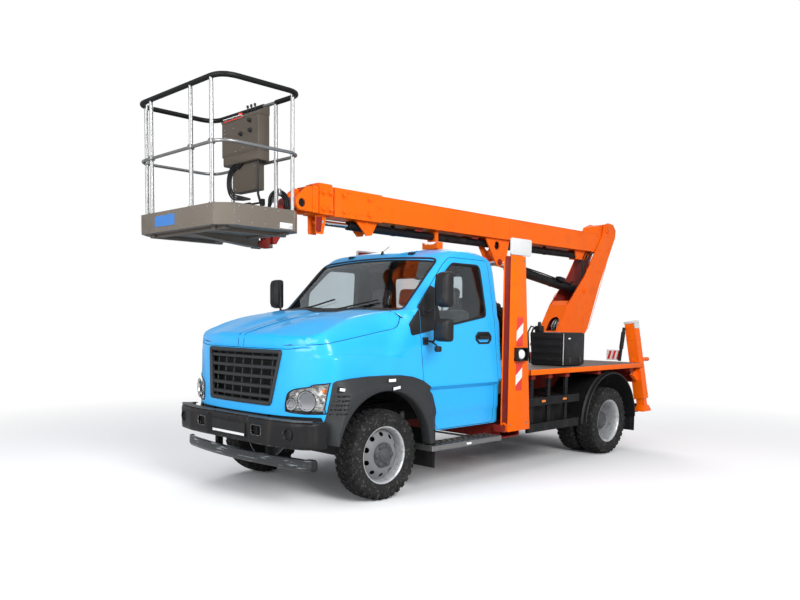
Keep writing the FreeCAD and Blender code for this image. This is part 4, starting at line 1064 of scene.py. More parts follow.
def make_seals():
    strips = seal(SCREEN_OPENING, SCREEN_PLANE, 0.013)
    strips.joined(seal(REAR_OPENING, REAR_PLANE, 0.014))
    build("window_seals", strips, "black_plastic")
    both("door_window_seal", seal(door_xz(WINDOW), SIDE_PLANE, 0.011), "black_plastic", "door_{}")


make_cab_shell()
make_doors()
make_bonnet()
make_glass()
make_seals()
make_gap_shade()


# ---------------------------------------------------------------- cab interior
HUMP_Y = 0.42  # the middle of the instruments' hump
STEERING_Y = 0.43


def rounded_block(low, high, radius, steps=4):
    """A box with its upright and level edges rounded, made of stacked rounded rings."""
    (x0, y0, z0), (x1, y1, z1) = low, high
    radius = min(radius, 0.42 * min(x1 - x0, y1 - y0, z1 - z0))
    rings = []
    for k in range(2 * steps + 2):
        if k <= steps:
            a = math.pi / 2 * k / steps
            inset, z = radius * (1 - math.sin(a)), z0 + radius * (1 - math.cos(a))
        else:
            a = math.pi / 2 * (k - steps - 1) / steps
            inset, z = radius * (1 - math.cos(a)), z1 - radius * (1 - math.sin(a))
        loop = rounded_rectangle(x0 + inset, y0 + inset, x1 - inset, y1 - inset, radius, 4)
        rings.append([(x, y, z) for x, y in loop])
    return Mesh().loft(rings)


def make_liners():
    wall = dense([(-0.90, 0.86), (0.90, 0.86), (0.88, 1.75), (0.80, 2.20), (-0.80, 2.20), (-0.88, 1.75)],
                 0.08)
    window = dense(grown(dense(REAR_OPENING, 0.03), 0.015), 0.04)
    build("rear_liner", skin(REAR_PLANE, wall, [window], spacing=0.09, offset=-0.045), "black_plastic",
          thickness=0.004)
    roof = dense([(-0.80, -1.10), (0.80, -1.10), (0.84, -0.52), (-0.84, -0.52)], 0.06)
    build("roof_liner", skin(TOP_PLANE, roof, spacing=0.08, offset=-0.04), "trim_grey", thickness=0.004)
    floor = Mesh().box((0.45, -0.93, 0.855), (1.60, 0.93, 0.870))
    floor.box((1.60, -0.93, 0.855), (1.62, 0.93, 1.30))
    build("cab_floor", floor, "black_plastic")
    card = door_xz(grown(dense(DOOR_OPENING, 0.03), -0.05))
    hole = door_xz(grown(dense(WINDOW, 0.03), 0.012))
    both("door_card", skin(SIDE_PLANE, card, [hole], spacing=0.07, offset=-0.052), "black_plastic",
         "door_{}", thickness=0.004)
    pillar = [(1.655, 1.74), (1.26, 2.13), (1.19, 2.20), (1.12, 2.25), (1.05, 2.25), (1.19, 2.14),
              (1.60, 1.70)]
    post = skin(SIDE_PLANE, door_xz(dense(pillar, 0.03)), spacing=0.05, offset=-0.05)
    build("pillar_liner", post.joined(post.mirrored()), "black_plastic", thickness=0.004)


def make_dashboard():
    section = [(1.725, 1.605), (1.62, 1.612), (1.50, 1.60), (1.42, 1.56), (1.375, 1.49), (1.370, 1.40),
               (1.40, 1.28), (1.46, 1.18), (1.725, 1.16)]
    rings = []
    for y in np.linspace(-0.90, 0.90, 37):
        hump = 0.045 * math.exp(-((y - HUMP_Y) / 0.20) ** 2)
        rings.append([(x, y, z + hump * (1 if z > 1.55 else 0.3 if z > 1.45 else 0)) for x, z in section])
    build("dashboard", Mesh().loft(rings), "dash_grey", bevel=0.008, crease=60)


def make_steering_wheel():
    tilt = Matrix.Rotation(math.radians(58), 3, "Y")
    centre = Vector((1.235, STEERING_Y, 1.46))

    def place(x, y, z):
        return centre + tilt @ Vector((x, y, z))

    wheel = Mesh().tube([place(x, y, 0) for x, y in ring_points(0.215, 48)], 0.015, 10, closed=True)
    for x, y in ring_points(0.205, 3, turn=math.pi / 2):
        wheel.tube([place(0, 0, -0.02), place(x, y, 0)], [0.022, 0.013], 8)
    wheel.tube([place(0, 0, 0.01), place(0, 0, -0.03), (1.50, STEERING_Y, 1.30)], [0.055, 0.05, 0.035], 16)
    build("steering_wheel", wheel, "black_plastic")


def make_seats():
    seats = Mesh()
    lean = Matrix.Rotation(math.radians(-10), 3, "Y")
    for y0, y1 in ((0.17, 0.76), (-0.82, -0.28), (-0.27, 0.05)):
        middle = (y0 + y1) / 2
        seats.joined(rounded_block((0.74, y0, 1.06), (1.24, y1, 1.20), 0.05))
        back = rounded_block((-0.06, y0 + 0.01, 0.0), (0.07, y1 - 0.01, 0.62), 0.05)
        head = rounded_block((-0.045, middle - 0.13, 0.66), (0.05, middle + 0.13, 0.86), 0.04)
        for part in (back, head):
            seats.joined(part.moved(lambda p: lean @ Vector(p) + Vector((0.70, 0, 1.12))))
    cushions = build("seat_cushions", seats, "seat_fabric", replaces=["seats"])
    base = Mesh()
    for y0, y1 in ((0.22, 0.70), (-0.76, 0.0)):
        base.box((0.78, y0, 0.87), (1.18, y1, 1.07))
        for y in ((y0 + y1) / 2 - 0.05, (y0 + y1) / 2 + 0.05):
            base.tube([(0.62, y, 1.65), (0.60, y, 1.80)], 0.008, 8)
    build("seat_bases", base, "black_plastic", bevel=0.01)


def make_interior():
    make_liners()
    make_dashboard()
    make_steering_wheel()
    make_seats()
    build("inside_mirror", rounded_block((1.16, -0.12, 2.10), (1.185, 0.12, 2.165), 0.012), "black_plastic")


make_interior()


# ---------------------------------------------------------------- front end
LAMP_PLANE = Plane((-0.6, 1, 0), (0, 0, 1))
BUMPER_Z0, BUMPER_Z1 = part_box("front_bumper")[0].z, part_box("front_bumper")[1].z
BUMPER_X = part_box("front_bumper")[1].x
BUMPER_END_X = 2.715  # where the bumper's ends stop beside the wheel opening
BAR_Z = 0.412
FOG_Y, FOG_Z = 0.82, 0.672
TOW_HOLE = rounded_rectangle(0.366, 0.63, 0.506, 0.716, 0.025)
AHEAD = np.array((1.0, 0, 0))


def strip(path, section, up=(0, 0, 1), closed=False, paint=0):
    """Sweeps a closed flat section (across, along up) along a path."""
    path = [Vector(p) for p in path]
    up = Vector(up)
    rings = []
    n = len(path)
    for i, p in enumerate(path):
        before = path[i - 1] if (i > 0 or closed) else p
        after = path[(i + 1) % n] if (i < n - 1 or closed) else p
        across = (after - before).normalized().cross(up).normalized()
        rings.append([p + across * a + up * b for a, b in section])
    if closed:
        rings.append(rings[0])
    return Mesh().loft(rings, caps=not closed, paint=paint)


def slab(width, height):
    return [(-width / 2, -height / 2), (width / 2, -height / 2), (width / 2, height / 2),
            (-width / 2, height / 2)]


def make_grille():
    opening = dense(GRILLE_OPENING, 0.02)
    front, back = on_front(grown(opening, -0.003)), on_front(grown(opening, -0.036))
    rings = [front - AHEAD * 0.03, front + AHEAD * 0.010, (front + back) / 2 + AHEAD * 0.016,
             back + AHEAD * 0.006, back - AHEAD * 0.03]
    mesh = Mesh().loft(rings + [rings[0]], caps=False)
    slat = rounded_outline([(-0.02, -0.019, 0.004), (0.012, -0.012, 0.004), (0.012, 0.012, 0.004),
                            (-0.02, 0.019, 0.004)], 2)
    for i in range(5):
        z = 0.948 + i * 0.0835
        half = 0.462 + 0.185 * (z - 0.872)
        mesh.joined(strip(on_front([(y, z) for y in np.linspace(-half, half, 31)]) - AHEAD * 0.016, slat))
    for y in np.linspace(-0.42, 0.42, 7):
        path = on_front([(y, z) for z in np.linspace(0.885, 1.335, 9)]) - AHEAD * 0.034
        mesh.tube(path, 0.0095, 4, up=(1, 0, 0), flat=0.6)
    build("grille_bars", mesh, "grille_grey", bevel=0.0015, segments=1, replaces=["grille"])
    mouth = grown(opening, -0.004)
    duct = Mesh().loft([on_front(mouth) - AHEAD * 0.012, [(2.780, y * 0.985, z) for y, z in mouth]],
                       caps=False)
    build("grille_duct", duct, "pad_black", thickness=0.003)
    core = Mesh().box((2.775, -0.53, 0.85), (2.79, 0.53, 1.36))
    for i in range(13):
        z = 0.87 + i * 0.037
        core.box((2.788, -0.495, z), (2.797, 0.495, z + 0.012))
    build("radiator", core, "pad_black", slot="iron")


def lamp_bucket(rim):
    """The reflector behind a headlamp's lens."""
    inward = np.array((-0.857, -0.514, 0))
    middle = rim.mean(0)
    edge = rim + (middle - rim) * 0.012
    rings = [edge - inward * -0.004, edge + inward * 0.02, edge * 0.93 + middle * 0.07 + inward * 0.05,
             edge * 0.8 + middle * 0.2 + inward * 0.085]
    bucket = Mesh().loft(rings, caps=False)
    n = len(rings[-1])
    return bucket.add([*rings[-1], np.mean(rings[-1], axis=0)], [(i, (i + 1) % n, n) for i in range(n)])


def lamp_gasket(rim):
    for _ in range(4):
        rim = (np.roll(rim, 1, 0) + 2 * rim + np.roll(rim, -1, 0)) / 4
    return Mesh().tube(rim + normals(cab_field, rim) * 0.001, 0.0055, 6, closed=True, up=(0.857, 0.514, 0))


def lamp_unit(radius, depth):
    """A round reflector with its bulb and two dark rings, facing +X at the origin."""
    profile = [(0.0, radius), (0.006, radius + 0.006), (0.006, radius - 0.003),
               (-depth * 0.5, radius * 0.72), (-depth, radius * 0.2), (-depth, 0.001)]
    bowl = Mesh().lathe(profile, ORIGIN, "X", 32)
    bowl.lathe([(-depth, 0.012), (-depth * 0.2, 0.014), (0.0, 0.002)], ORIGIN, "X", 16, paint=1)
    for ring in (radius + 0.010, radius * 0.62):
        x = 0.004 - (radius - ring) * 0.5
        bowl.lathe([(x, ring), (x + 0.006, ring + 0.004), (x, ring + 0.008)], ORIGIN, "X", 32, paint=1,
                   closed=True)
    return bowl


def make_headlamps():
    rim = lamp_hole()
    lens = skin(LAMP_PLANE, grown(LAMP_PLANE.flat(rim), -0.003), spacing=0.03, offset=-0.001)
    units = Mesh()
    turn = Vector((0.94, 0.34, 0)).to_track_quat("X", "Z").to_matrix()
    for centre, radius, depth in (
        ((2.772, 0.835, 0.935), 0.076, 0.05),
        ((2.836, 0.705, 0.905), 0.040, 0.03),
    ):
        bowl = lamp_unit(radius, depth).moved(lambda p: Vector(centre) + turn @ Vector(p))
        for paint in (0, 1):
            units.add(bowl.points, [f for f, own in zip(bowl.faces, bowl.paints) if own == paint], paint)
    amber = Mesh().lathe([(-0.03, 0.001), (-0.028, 0.014), (-0.004, 0.022), (0.0, 0.020), (0.004, 0.001)],
                         (2.668, 0.945, 1.020), "Y", 24)
    both("headlamp_lens", lens, "lamp_glass", thickness=0.003)
    both("headlamp_bucket", lamp_bucket(rim), "lamp_inside")
    both("headlamp_gasket", lamp_gasket(rim), "black_plastic")
    both("headlamp_units", units, "mirror_glass frame_black")
    both("headlamp_amber", amber, "amber")


def bumper_field(x, y, z):
    y = np.abs(y)
    front = x - (BUMPER_X - 0.006 - 0.020 * (y / 0.7) ** 2 - 0.05 * np.maximum(y - 0.65, 0) / 0.35)
    recess = 0.020 * (1 - ease(y, 0.305, 0.325)) * ease(z, 0.568, 0.582) * (1 - ease(z, 0.742, 0.756))
    crown = 0.012 * ease(np.abs(z - 0.662), 0.085, 0.125)
    end = y - 1.028
    shape = smooth_max(front + recess + crown, end, 0.17)
    return smooth_max(shape, np.abs(z - (BUMPER_Z0 + BUMPER_Z1) / 2) - (BUMPER_Z1 - BUMPER_Z0) / 2, 0.03)


def bumper_half():
    z0, z1 = BUMPER_Z0 + 0.008, BUMPER_Z1 - 0.008
    levels = np.linspace(z0, z1, 16)
    starts = np.array([(2.80 + 0.5, 0.875 + 0.5, z) for z in levels])
    corner = meet(bumper_field, starts, (-1, -1, 0))
    front = dense([(0.0, z0), (0.0, z1)], 0.02, closed=False)
    front += dense([(0.0, z1), (corner[-1][1], z1)], 0.02, closed=False)[1:]
    front += [(p[1], p[2]) for p in corner[::-1]][1:]
    front += dense([(corner[0][1], z0), (0.0, z0)], 0.02, closed=False)[1:-1]
    holes = [dense(TOW_HOLE, 0.015), ring_points(0.05, 32, (FOG_Y, FOG_Z))]
    mesh = Mesh().add(*patch(bumper_field, FRONT_PLANE, front, holes, spacing=0.02))
    side = [(-p[0], p[2]) for p in corner]
    end = -BUMPER_END_X
    side += dense([(-corner[-1][0], z1), (end, z1), (end, z0), (-corner[0][0], z0)], 0.02,
                  closed=False)[1:-1]
    return mesh.add(*patch(bumper_field, SIDE_PLANE, side, spacing=0.02))


def plan_curve(field, z, y1, count, inset=0.0):
    """The outer plan curve of a bar at one level, from the right end to the left."""
    ys = np.linspace(0, y1, count)
    half = meet(field, [(3.4, y, z) for y in ys], (-1, 0, 0)) - np.array((inset, 0, 0))
    right = half[::-1] * np.array((1, -1, 1))
    return np.vstack([right[:-1], half])


def make_bumper():
    build("bumper_shell", whole(bumper_half()), "bumper_grey", bevel=0.002, thickness=0.008,
          replaces=["front_bumper"], merge=0.0012, crease=40)
    level = 0.665
    ledge_path = plan_curve(bumper_field, level, 0.985, 33, 0.052)
    ledge = strip(ledge_path + np.array((0, 0, BUMPER_Z1 - 0.004 - level)), slab(0.088, 0.006))
    build("bumper_ledge", ledge, "scuffed", bevel=0.002, segments=1)
    lip_path = plan_curve(bumper_field, level, 0.985, 33, 0.042)
    lips = strip(lip_path + np.array((0, 0, BUMPER_Z0 + 0.012 - level)), slab(0.07, 0.006))
    for _, sign in SIDES:
        end = sign * 0.996
        lips.box((2.72, end - 0.02, BUMPER_Z1 - 0.018), (2.87, end + 0.02, BUMPER_Z1 - 0.010))
        lips.box((2.86, sign * 0.4 - 0.028, 0.62), (2.985, sign * 0.4 + 0.028, 0.76))
        for y in (0.36, 0.512):
            lips.box((2.86, sign * y - 0.003, 0.62), (2.99, sign * y + 0.003, 0.725))
    lips.box((2.962, -0.52, 0.585), (2.972, 0.52, 0.745))
    build("bumper_channel", lips, "bumper_grey", bevel=0.0015, segments=1)
    trim = Mesh()
    for _, sign in SIDES:
        middle = sign * 0.436
        loop = rounded_rectangle(middle - 0.07, 0.63, middle + 0.07, 0.716, 0.025)
        edge = meet(bumper_field, [(3.3, y, z) for y, z in dense(loop, 0.015)], (-1, 0, 0))
        trim.tube(edge + AHEAD * 0.001, 0.0038, 8, closed=True, up=(1, 0, 0))
    build("tow_hole_rims", trim, "scuffed", slot="galvanised")
    build("plate_holder", Mesh().box((2.9975, -0.262, 0.594), (3.0005, 0.262, 0.712)), "black_plastic",
          bevel=0.001, segments=1)
    build("plate_strip", Mesh().box((3.0005, -0.25, 0.600), (3.003, 0.25, 0.622)), "stripe_white",
          bevel=0.0008, segments=1)
    at = meet(bumper_field, [(3.3, FOG_Y, FOG_Z)], (-1, 0, 0))[0]
    lamp = Mesh().lathe([(-0.05, 0.001), (-0.05, 0.03), (-0.02, 0.05), (0.004, 0.053), (0.006, 0.047),
                         (-0.012, 0.043)], at, "X", 32)
    both("fog_housing", lamp, "black_plastic")


def bar_field(x, y, z):
    y = np.abs(y)
    front = x - (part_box("lower_bar")[1].x - 0.004 - 0.09 * (y / 0.9) ** 2)
    shape = smooth_max(front + 0.018 * ease(np.abs(z - 0.42), 0.012, 0.05), y - 0.985, 0.10)
    return smooth_max(shape, np.abs(z - BAR_Z) - 0.05, 0.03)


def make_lower_bar():
    path = plan_curve(bar_field, BAR_Z, 0.955, 41, 0.024)
    section = rounded_outline([(-0.022, -0.05, 0.012), (0.010, -0.05, 0.015), (0.024, -0.022, 0.02),
                               (0.020, 0.046, 0.012), (-0.006, 0.05, 0.01), (-0.022, 0.046, 0.008)], 4)
    build("underrun_bar", strip(path, section), "chrome_dark", replaces=["lower_bar"], crease=50)
    ends = Mesh()
    for tip, sign in ((path[-1], 1), (path[0], -1)):
        way, across = np.array((-0.45, sign * 0.9, 0)), np.array((0.9, sign * 0.45, 0))
        rings = []
        for distance, size in ((-0.05, 1.06), (-0.01, 1.06), (0.02, 1.0), (0.034, 0.6)):
            middle = tip + way * distance
            rings.append([middle + across * a * size + np.array((0, 0, b * size)) for a, b in section])
        ends.loft(rings)
        for x, z in ((2.87, 0.60), (2.905, 0.45)):
            ends.box((2.81, sign * 0.40 - 0.02, 0.375), (x, sign * 0.40 + 0.02, z), paint=1)
    build("underrun_ends", ends, "black_plastic frame_black", bevel=0.002, segments=1)


FLARE_OUTER = [(1.385, 0.50), (1.390, 0.78), (1.440, 0.930), (1.520, 1.010), (1.620, 1.072), (1.750, 1.112),
               (1.900, 1.132), (2.100, 1.138), (2.300, 1.136), (2.500, 1.124), (2.632, 1.106),
               (2.652, 0.97), (2.672, 0.83), (2.690, 0.74), (2.685, 0.58)]
FLARE_STEPS = 61


def flare_rows():
    """Matching points along the wheel opening and along the flare's outer edge, from the rear end forward."""
    outer = np.array(dense(FLARE_OUTER, 0.01, closed=False))
    run = np.concatenate([[0], np.cumsum(np.linalg.norm(np.diff(outer, axis=0), axis=1))])
    inner = arc((ARCH_X, ARCH_Z), 0.568, 176, 14, FLARE_STEPS)
    spots = np.linspace(0, run[-1], FLARE_STEPS)
    outer = np.stack([np.interp(spots, run, outer[:, k]) for k in range(2)], axis=1)
    return inner, outer


def flare_rings():
    """The flare's cross sections, from the rear end forward."""
    inner, outer = flare_rows()
    rings = []
    for near, far, body in zip(inner, outer, on_side(outer)[:, 1]):
        body = max(body, 0.93)
        edge = body + 0.030
        middle = edge + (1.086 - edge) * 0.75
        section = [(1.0, body - 0.012), (1.0, edge - 0.012), (0.95, edge), (0.56, middle), (0.46, 1.088),
                   (0.40, 1.096), (0.10, 1.096), (0.03, 1.090), (0.0, 1.075), (0.0, 0.985), (0.05, 0.985),
                   (0.07, 1.068), (0.50, middle - 0.03), (0.93, body - 0.012)]
        rings.append([(near[0] + (far[0] - near[0]) * s, y, near[1] + (far[1] - near[1]) * s) for s,
                      y in section])
    return rings


def make_flare():
    rings = flare_rings()
    shown = np.vstack([dense(ring[2:7], 0.01, closed=False) for ring in rings[1:]])

    def on_flare(x, z):
        near = np.argsort(np.hypot(shown[:, 0] - x, shown[:, 2] - z))[:3]
        return float(shown[near, 1].mean())

    slots = Mesh()
    for i in range(5):
        z = 0.83 + i * 0.036
        for k in range(6):
            x = 2.560 + k * 0.020 - i * 0.008
            y = on_flare(x, z)
            slots.box((x - 0.011, y - 0.008, z), (x + 0.011, y + 0.0035, z + 0.014))
    lamp = Mesh()
    for x, z, lean in ((2.03, 1.092, 0.0), (1.975, 1.022, 0.12), (2.566, 1.035, -0.15)):
        y = on_flare(x, z)
        turn = Matrix.Rotation(lean, 3, "Y")
        lamp.box((x - 0.044, y - 0.010, z - 0.013), (x + 0.044, y + 0.009, z + 0.013), turn=turn)
        slots.box((x - 0.054, y - 0.010, z - 0.020), (x + 0.054, y + 0.005, z + 0.020), turn=turn)
    flap = Mesh().box((1.438, 0.66, 0.235), (1.447, 1.085, 0.60))
    for y in (0.70, 0.80, 0.90, 1.00, 1.06):
        flap.box((1.434, y - 0.006, 0.26), (1.450, y + 0.006, 0.56))
    both("flare_trim", Mesh().loft(rings), "grille_grey", bevel=0.002, replaces=["flare_{}"], crease=50)
    both("flare_slots", slots, "frame_black", slot="black_plastic", bevel=0.001, segments=1)
    both("flare_markers", lamp, "marker_white", bevel=0.002)
    both("mudflap_front", flap, "black_plastic", bevel=0.002)


def mirror_head(low, high):
    """A rounded shell that faces backward, and the glass let into it."""
    (x0, y0, z0), (x1, y1, z1) = low, high
    corners = rounded_rectangle(y0, z0, y1, z1, 0.035, 5)
    cy, cz = (y0 + y1) / 2, (z0 + z1) / 2
    sizes = ((x0, 0.97), (x0 + 0.008, 1.0), (x0 + 0.4 * (x1 - x0), 1.0), (x0 + 0.75 * (x1 - x0), 0.93),
             (x1 - 0.006, 0.74), (x1, 0.55))
    shell = Mesh().loft([[(x, cy + (y - cy) * s, cz + (z - cz) * s) for y, z in corners] for x, s in sizes])
    pane = [(y0 + 0.012 + (y - y0) * 0.86, z0 + 0.012 + (z - z0) * 0.93) for y, z in corners]
    return shell, Mesh().prism(pane, "X", x0 - 0.003, x0 + 0.004)


def make_mirrors():
    shell, glass = mirror_head((1.495, 1.190, 1.740), (1.600, 1.330, 2.060))
    low_shell, low_glass = mirror_head((1.495, 1.178, 1.430), (1.604, 1.340, 1.640))
    shell.joined(low_shell).joined(rounded_block((1.600, 1.242, 1.340), (1.652, 1.294, 1.392), 0.012))
    arms = Mesh()
    stem = 1.560, 1.165  # x and y of the upright tube
    upper = [(1.545, 1.018, 1.705), (1.556, 1.10, 1.700), (1.560, 1.163, 1.730), (*stem, 1.90),
             (1.558, 1.18, 2.04)]
    lower = [(*stem, 1.75), (*stem, 1.45), (1.558, 1.150, 1.428), (1.545, 1.035, 1.430)]
    block_arm = [(1.556, 1.12, 1.428), (1.585, 1.205, 1.40), (1.626, 1.268, 1.372)]
    for path, radius, sides in ((upper, 0.011, 10), (lower, 0.011, 10), (block_arm, 0.008, 8)):
        arms.tube(path, radius, sides)
    for z in (1.95, 1.53):
        arms.tube([(*stem, z), (1.548, 1.25, z)], 0.012, 8)
    for z, y in ((1.705, 1.018), (1.430, 1.032)):
        arms.box((1.515, y - 0.010, z - 0.035), (1.575, y + 0.018, z + 0.035))
    both("mirror_shells", shell, "black_plastic", "door_{}", bevel=0.003, replaces=["mirror_{}"], crease=40)
    both("mirror_glass", glass.joined(low_glass), "mirror_glass", "door_{}", slot="glass")
    both("mirror_arms", arms, "black_plastic", "door_{}", bevel=0.002, segments=1)


def make_scuttle():
    ys = np.linspace(-0.86, 0.86, 45)
    low, high = bonnet_line(1.862, 0.062, ys), bonnet_line(1.735, 0.055, ys)
    out = normals(cab_field, (low + high) / 2)
    rings = (low + out * 0.001, (low + high) / 2 + out * 0.006, high + out * 0.002)
    build("scuttle", Mesh().loft(rings, closed=False, caps=False), "black_plastic", thickness=0.006)
    apron = plan_curve(cab_field, 0.835, 0.93, 41, 0.030)
    build("nose_apron", strip([(x, y, 0.775) for x, y, _ in apron], slab(0.006, 0.150)), "black_plastic")


def on_screen(points, height):
    """Points (y, distance up from the windscreen's foot) put over the glass."""
    foot = SCREEN_PLANE.flat([(1.78, 0, 1.66)])[0][1]
    starts = SCREEN_PLANE.lifted([(y, foot + v) for y, v in points])
    return meet(cab_field, starts, -SCREEN_PLANE.n, reach=5.0, steps=220) + SCREEN_PLANE.n * height


def make_wipers():
    wipers = Mesh()
    for y, z in ((-0.10, 1.69), (0.52, 1.68)):
        wipers.tube(on_screen([(y, 0.012), (y - 0.10, 0.06), (y - 0.30, 0.075)], 0.014),
                    [0.010, 0.008, 0.006], 8)
        blade = [(along, 0.045 + 0.02 * k) for k, along in enumerate(np.linspace(y - 0.52, y - 0.02, 9))]
        wipers.tube(on_screen(blade, 0.009), 0.009, 6)
        wipers.lathe([(-0.02, 0.014), (0.012, 0.016), (0.02, 0.008)], (1.795, y, z - 0.01), "Z", 12)
    build("wipers", wipers, "black_plastic")


def make_roof_fittings():
    roof = Mesh()
    foot = meet(cab_field, [(1.10, 0.0, 3.0)], (0, 0, -1))[0]
    for low, high, radius, sides in (((0, 0, -0.01), (0, 0, 0.03), [0.022, 0.010], 12),
                                     ((0, 0, 0.02), (-0.10, 0, 0.085), 0.003, 6)):
        roof.tube([foot + np.array(low), foot + np.array(high)], radius, sides)
    for y in (-0.45, 0.45):
        x, _, z = meet(cab_field, [(1.13, y, 3.0)], (0, 0, -1))[0]
        roof.box((x - 0.025, y - 0.035, z - 0.012), (x + 0.015, y + 0.035, z + 0.018))
    build("roof_aerial", roof, "black_plastic", bevel=0.003)


def make_door_handles():
    handle = Mesh()
    flush = on_side([(0.68, 1.462)])[0][1]
    plate = rounded_outline([(x, z, 0.02) for x, z in (
        (0.595, 1.390), (0.755, 1.390), (0.802, 1.430), (0.802, 1.474), (0.755, 1.514), (0.595, 1.514),
        (0.550, 1.474), (0.550, 1.430))], 4)
    ring = [(0.676 + (x - 0.676) * 0.78, 1.452 + (z - 1.452) * 0.66) for x, z in plate]
    grip = rounded_rectangle(0.585, 1.440, 0.765, 1.474, 0.012, 3)
    handle.loft([[(x, flush + rise, z) for x, z in loop]
                 for loop, rise in ((plate, -0.008), (plate, 0.009), (ring, 0.011), (ring, 0.002))])
    handle.loft([[(x, flush + rise, z) for x, z in grip] for rise in (0.002, 0.022, 0.028)])
    both("door_handle", handle, "black_plastic", "door_{}", bevel=0.003)


def quarter_panel(corners):
    outline = door_xz(dense(rounded_outline([(x, z, 0.006) for x, z in corners]), 0.02))
    return skin(SIDE_PLANE, outline, spacing=0.03, offset=0.004)


def make_cab_trim():
    make_scuttle()
    make_wipers()
    make_roof_fittings()
    make_door_handles()
    fixed = quarter_panel([(1.601, 1.498), (1.705, 1.482), (1.722, 1.500), (1.727, 1.585), (1.601, 1.722)])
    both("pillar_quarter", fixed, "black_plastic", bevel=0.002, thickness=0.008)
    hinged = quarter_panel([(1.345, 1.545), (1.591, 1.500), (1.591, 1.738), (1.385, 1.950), (1.345, 1.925)])
    both("door_quarter", hinged, "black_plastic", "door_{}", thickness=0.006, bevel=0.001, segments=1)


make_grille()
make_headlamps()
make_bumper()
make_lower_bar()
make_flare()
make_mirrors()
make_cab_trim()


# ---------------------------------------------------------------- wheels
TYRE_RADIUS = 0.41
GROOVE_RADIUS = 0.397
TREAD_PITCHES = 34
TREAD_HALF = 0.122
FRONT_WHEEL = (2.0, 0.870)  # x and y of the left wheel's middle
REAR_WHEELS = (-1.77, 0.845)
TWIN_OFFSET = 0.14  # each rear tyre from the middle of its pair
SPARE_PLACE = Vector((0.225, 0.560, 1.080 + TYRE_RADIUS))


def on_tyre(radius, y, angle):
    return radius * math.cos(angle), y, radius * math.sin(angle)


def tread_block(mesh, centre, low, high, start, width, skew):
    """One stud from the tyre's y low to y high, with a lug on the wall below it in the outer rows."""
    outer, inner = [], []
    for y, a in ((low, start + skew), (high, start - skew), (high, start - skew + width),
                 (low, start + skew + width)):
        if abs(y) > 0.1:  # the tyre's shoulder
            top, foot, narrow = TYRE_RADIUS - 0.010, 0.384, 0.965
        else:
            top, foot, narrow = TYRE_RADIUS - 0.0004, GROOVE_RADIUS - 0.003, 1
        outer.append(on_tyre(top, centre + y * narrow, a))
        inner.append(on_tyre(foot, centre + y, a))
    mesh.block(inner, outer)
    if low < -0.1 or high > 0.1:
        side = -1 if low < 0 else 1
        wall = centre + side * 0.1185
        near, far = start + width * 0.15, start + width * 0.85
        corners = ((0.350, near, 0.0035), (0.350, far, 0.0035), (0.384, far, -0.0015),
                   (0.384, near, -0.0015))
        mesh.block([on_tyre(r, wall - side * 0.012, a) for r, a, _ in corners],
                   [on_tyre(r, wall + side * rise, a) for r, a, rise in corners])


def tyre_mesh(centre=0.0):
    """A tyre about the local Y axis: ribbed walls and a studded tread of four rows of blocks."""
    profile = [(-0.100, 0.251), (-0.108, 0.262), (-0.112, 0.285), (-0.118, 0.305), (-0.1195, 0.312),
               (-0.1175, 0.318), (-0.1205, 0.340), (-0.1185, 0.362), (-0.112, 0.382), (-0.102, 0.393),
               (-0.09, GROOVE_RADIUS), (-0.045, GROOVE_RADIUS + 0.001), (0.0, GROOVE_RADIUS + 0.002)]
    profile += [(-a, r) for a, r in profile[-2::-1]]
    profile += [(0.06, 0.251), (-0.06, 0.251)]
    mesh = Mesh().lathe([(centre + a, r) for a, r in profile], ORIGIN, "Y", 96, closed=True)
    edge = TREAD_HALF - 0.004
    step = 2 * math.pi / TREAD_PITCHES
    for low, high, shift, share in ((-edge, -0.066, 0.0, 0.60), (-0.060, -0.004, 0.5, 0.72),
                                    (0.004, 0.060, 0.0, 0.72), (0.066, edge, 0.5, 0.60)):
        skew = 0.22 * step * (1 if low < 0 else -1)
        for k in range(TREAD_PITCHES):
            tread_block(mesh, centre, low, high, (k + shift) * step, share * step, skew)
    return mesh


def rim_barrel(centre):
    profile = [(0.106, 0.266), (0.108, 0.258), (0.101, 0.248), (0.094, 0.244), (0.060, 0.234),
               (-0.060, 0.234), (-0.094, 0.244), (-0.104, 0.250), (-0.106, 0.266), (-0.098, 0.262),
               (-0.090, 0.252), (-0.058, 0.241), (0.058, 0.241), (0.088, 0.252), (0.098, 0.266)]
    return Mesh().lathe([(centre + a, r) for a, r in profile], ORIGIN, "Y", 72, closed=True)


def wheel_disc(profile, vents, vent_radius, vent_circle, squash=1.0):
    """A pressed disc whose offset follows (radius, offset) points, with a ring of vents."""
    radii, offsets = np.array(sorted(profile)).T

    def field(x, y, z):
        return y - np.interp(np.hypot(x, z), radii, offsets)

    holes = [ring_points(0.044, 32)]
    for k in range(vents):
        a = 2 * math.pi * (k + 0.5) / vents
        holes.append([((vent_circle + dr * squash) * math.cos(a) - dt * math.sin(a),
                       (vent_circle + dr * squash) * math.sin(a) + dt * math.cos(a))
                      for dr, dt in ring_points(vent_radius, 20)])
    rings = []
    for radius in np.linspace(0.06, 0.228, 15):
        rings += ring_points(radius, int(radius * 260))
    return Mesh().add(*ring_patch(field, ring_points(0.2395, 96), holes, rings))


def ring_patch(field, outline, holes, inner):
    """A patch facing +Y whose inner points are given."""
    loops = [np.array(outline, float)] + [np.array(h, float) for h in holes]
    grid = np.array(inner, float)
    border = np.vstack(loops)
    near = np.linalg.norm(grid[:, None] - border[None], axis=2).min(1) > 0.004
    for hole in holes:
        near &= ~inside(grid, hole)
    flat, faces = triangulated(loops, grid[near], 1e-6)
    starts = np.stack([flat[:, 0], np.full(len(flat), 0.6), flat[:, 1]], axis=1)
    return only_used(meet(field, starts, (0, -1, 0), reach=1.2), faces)


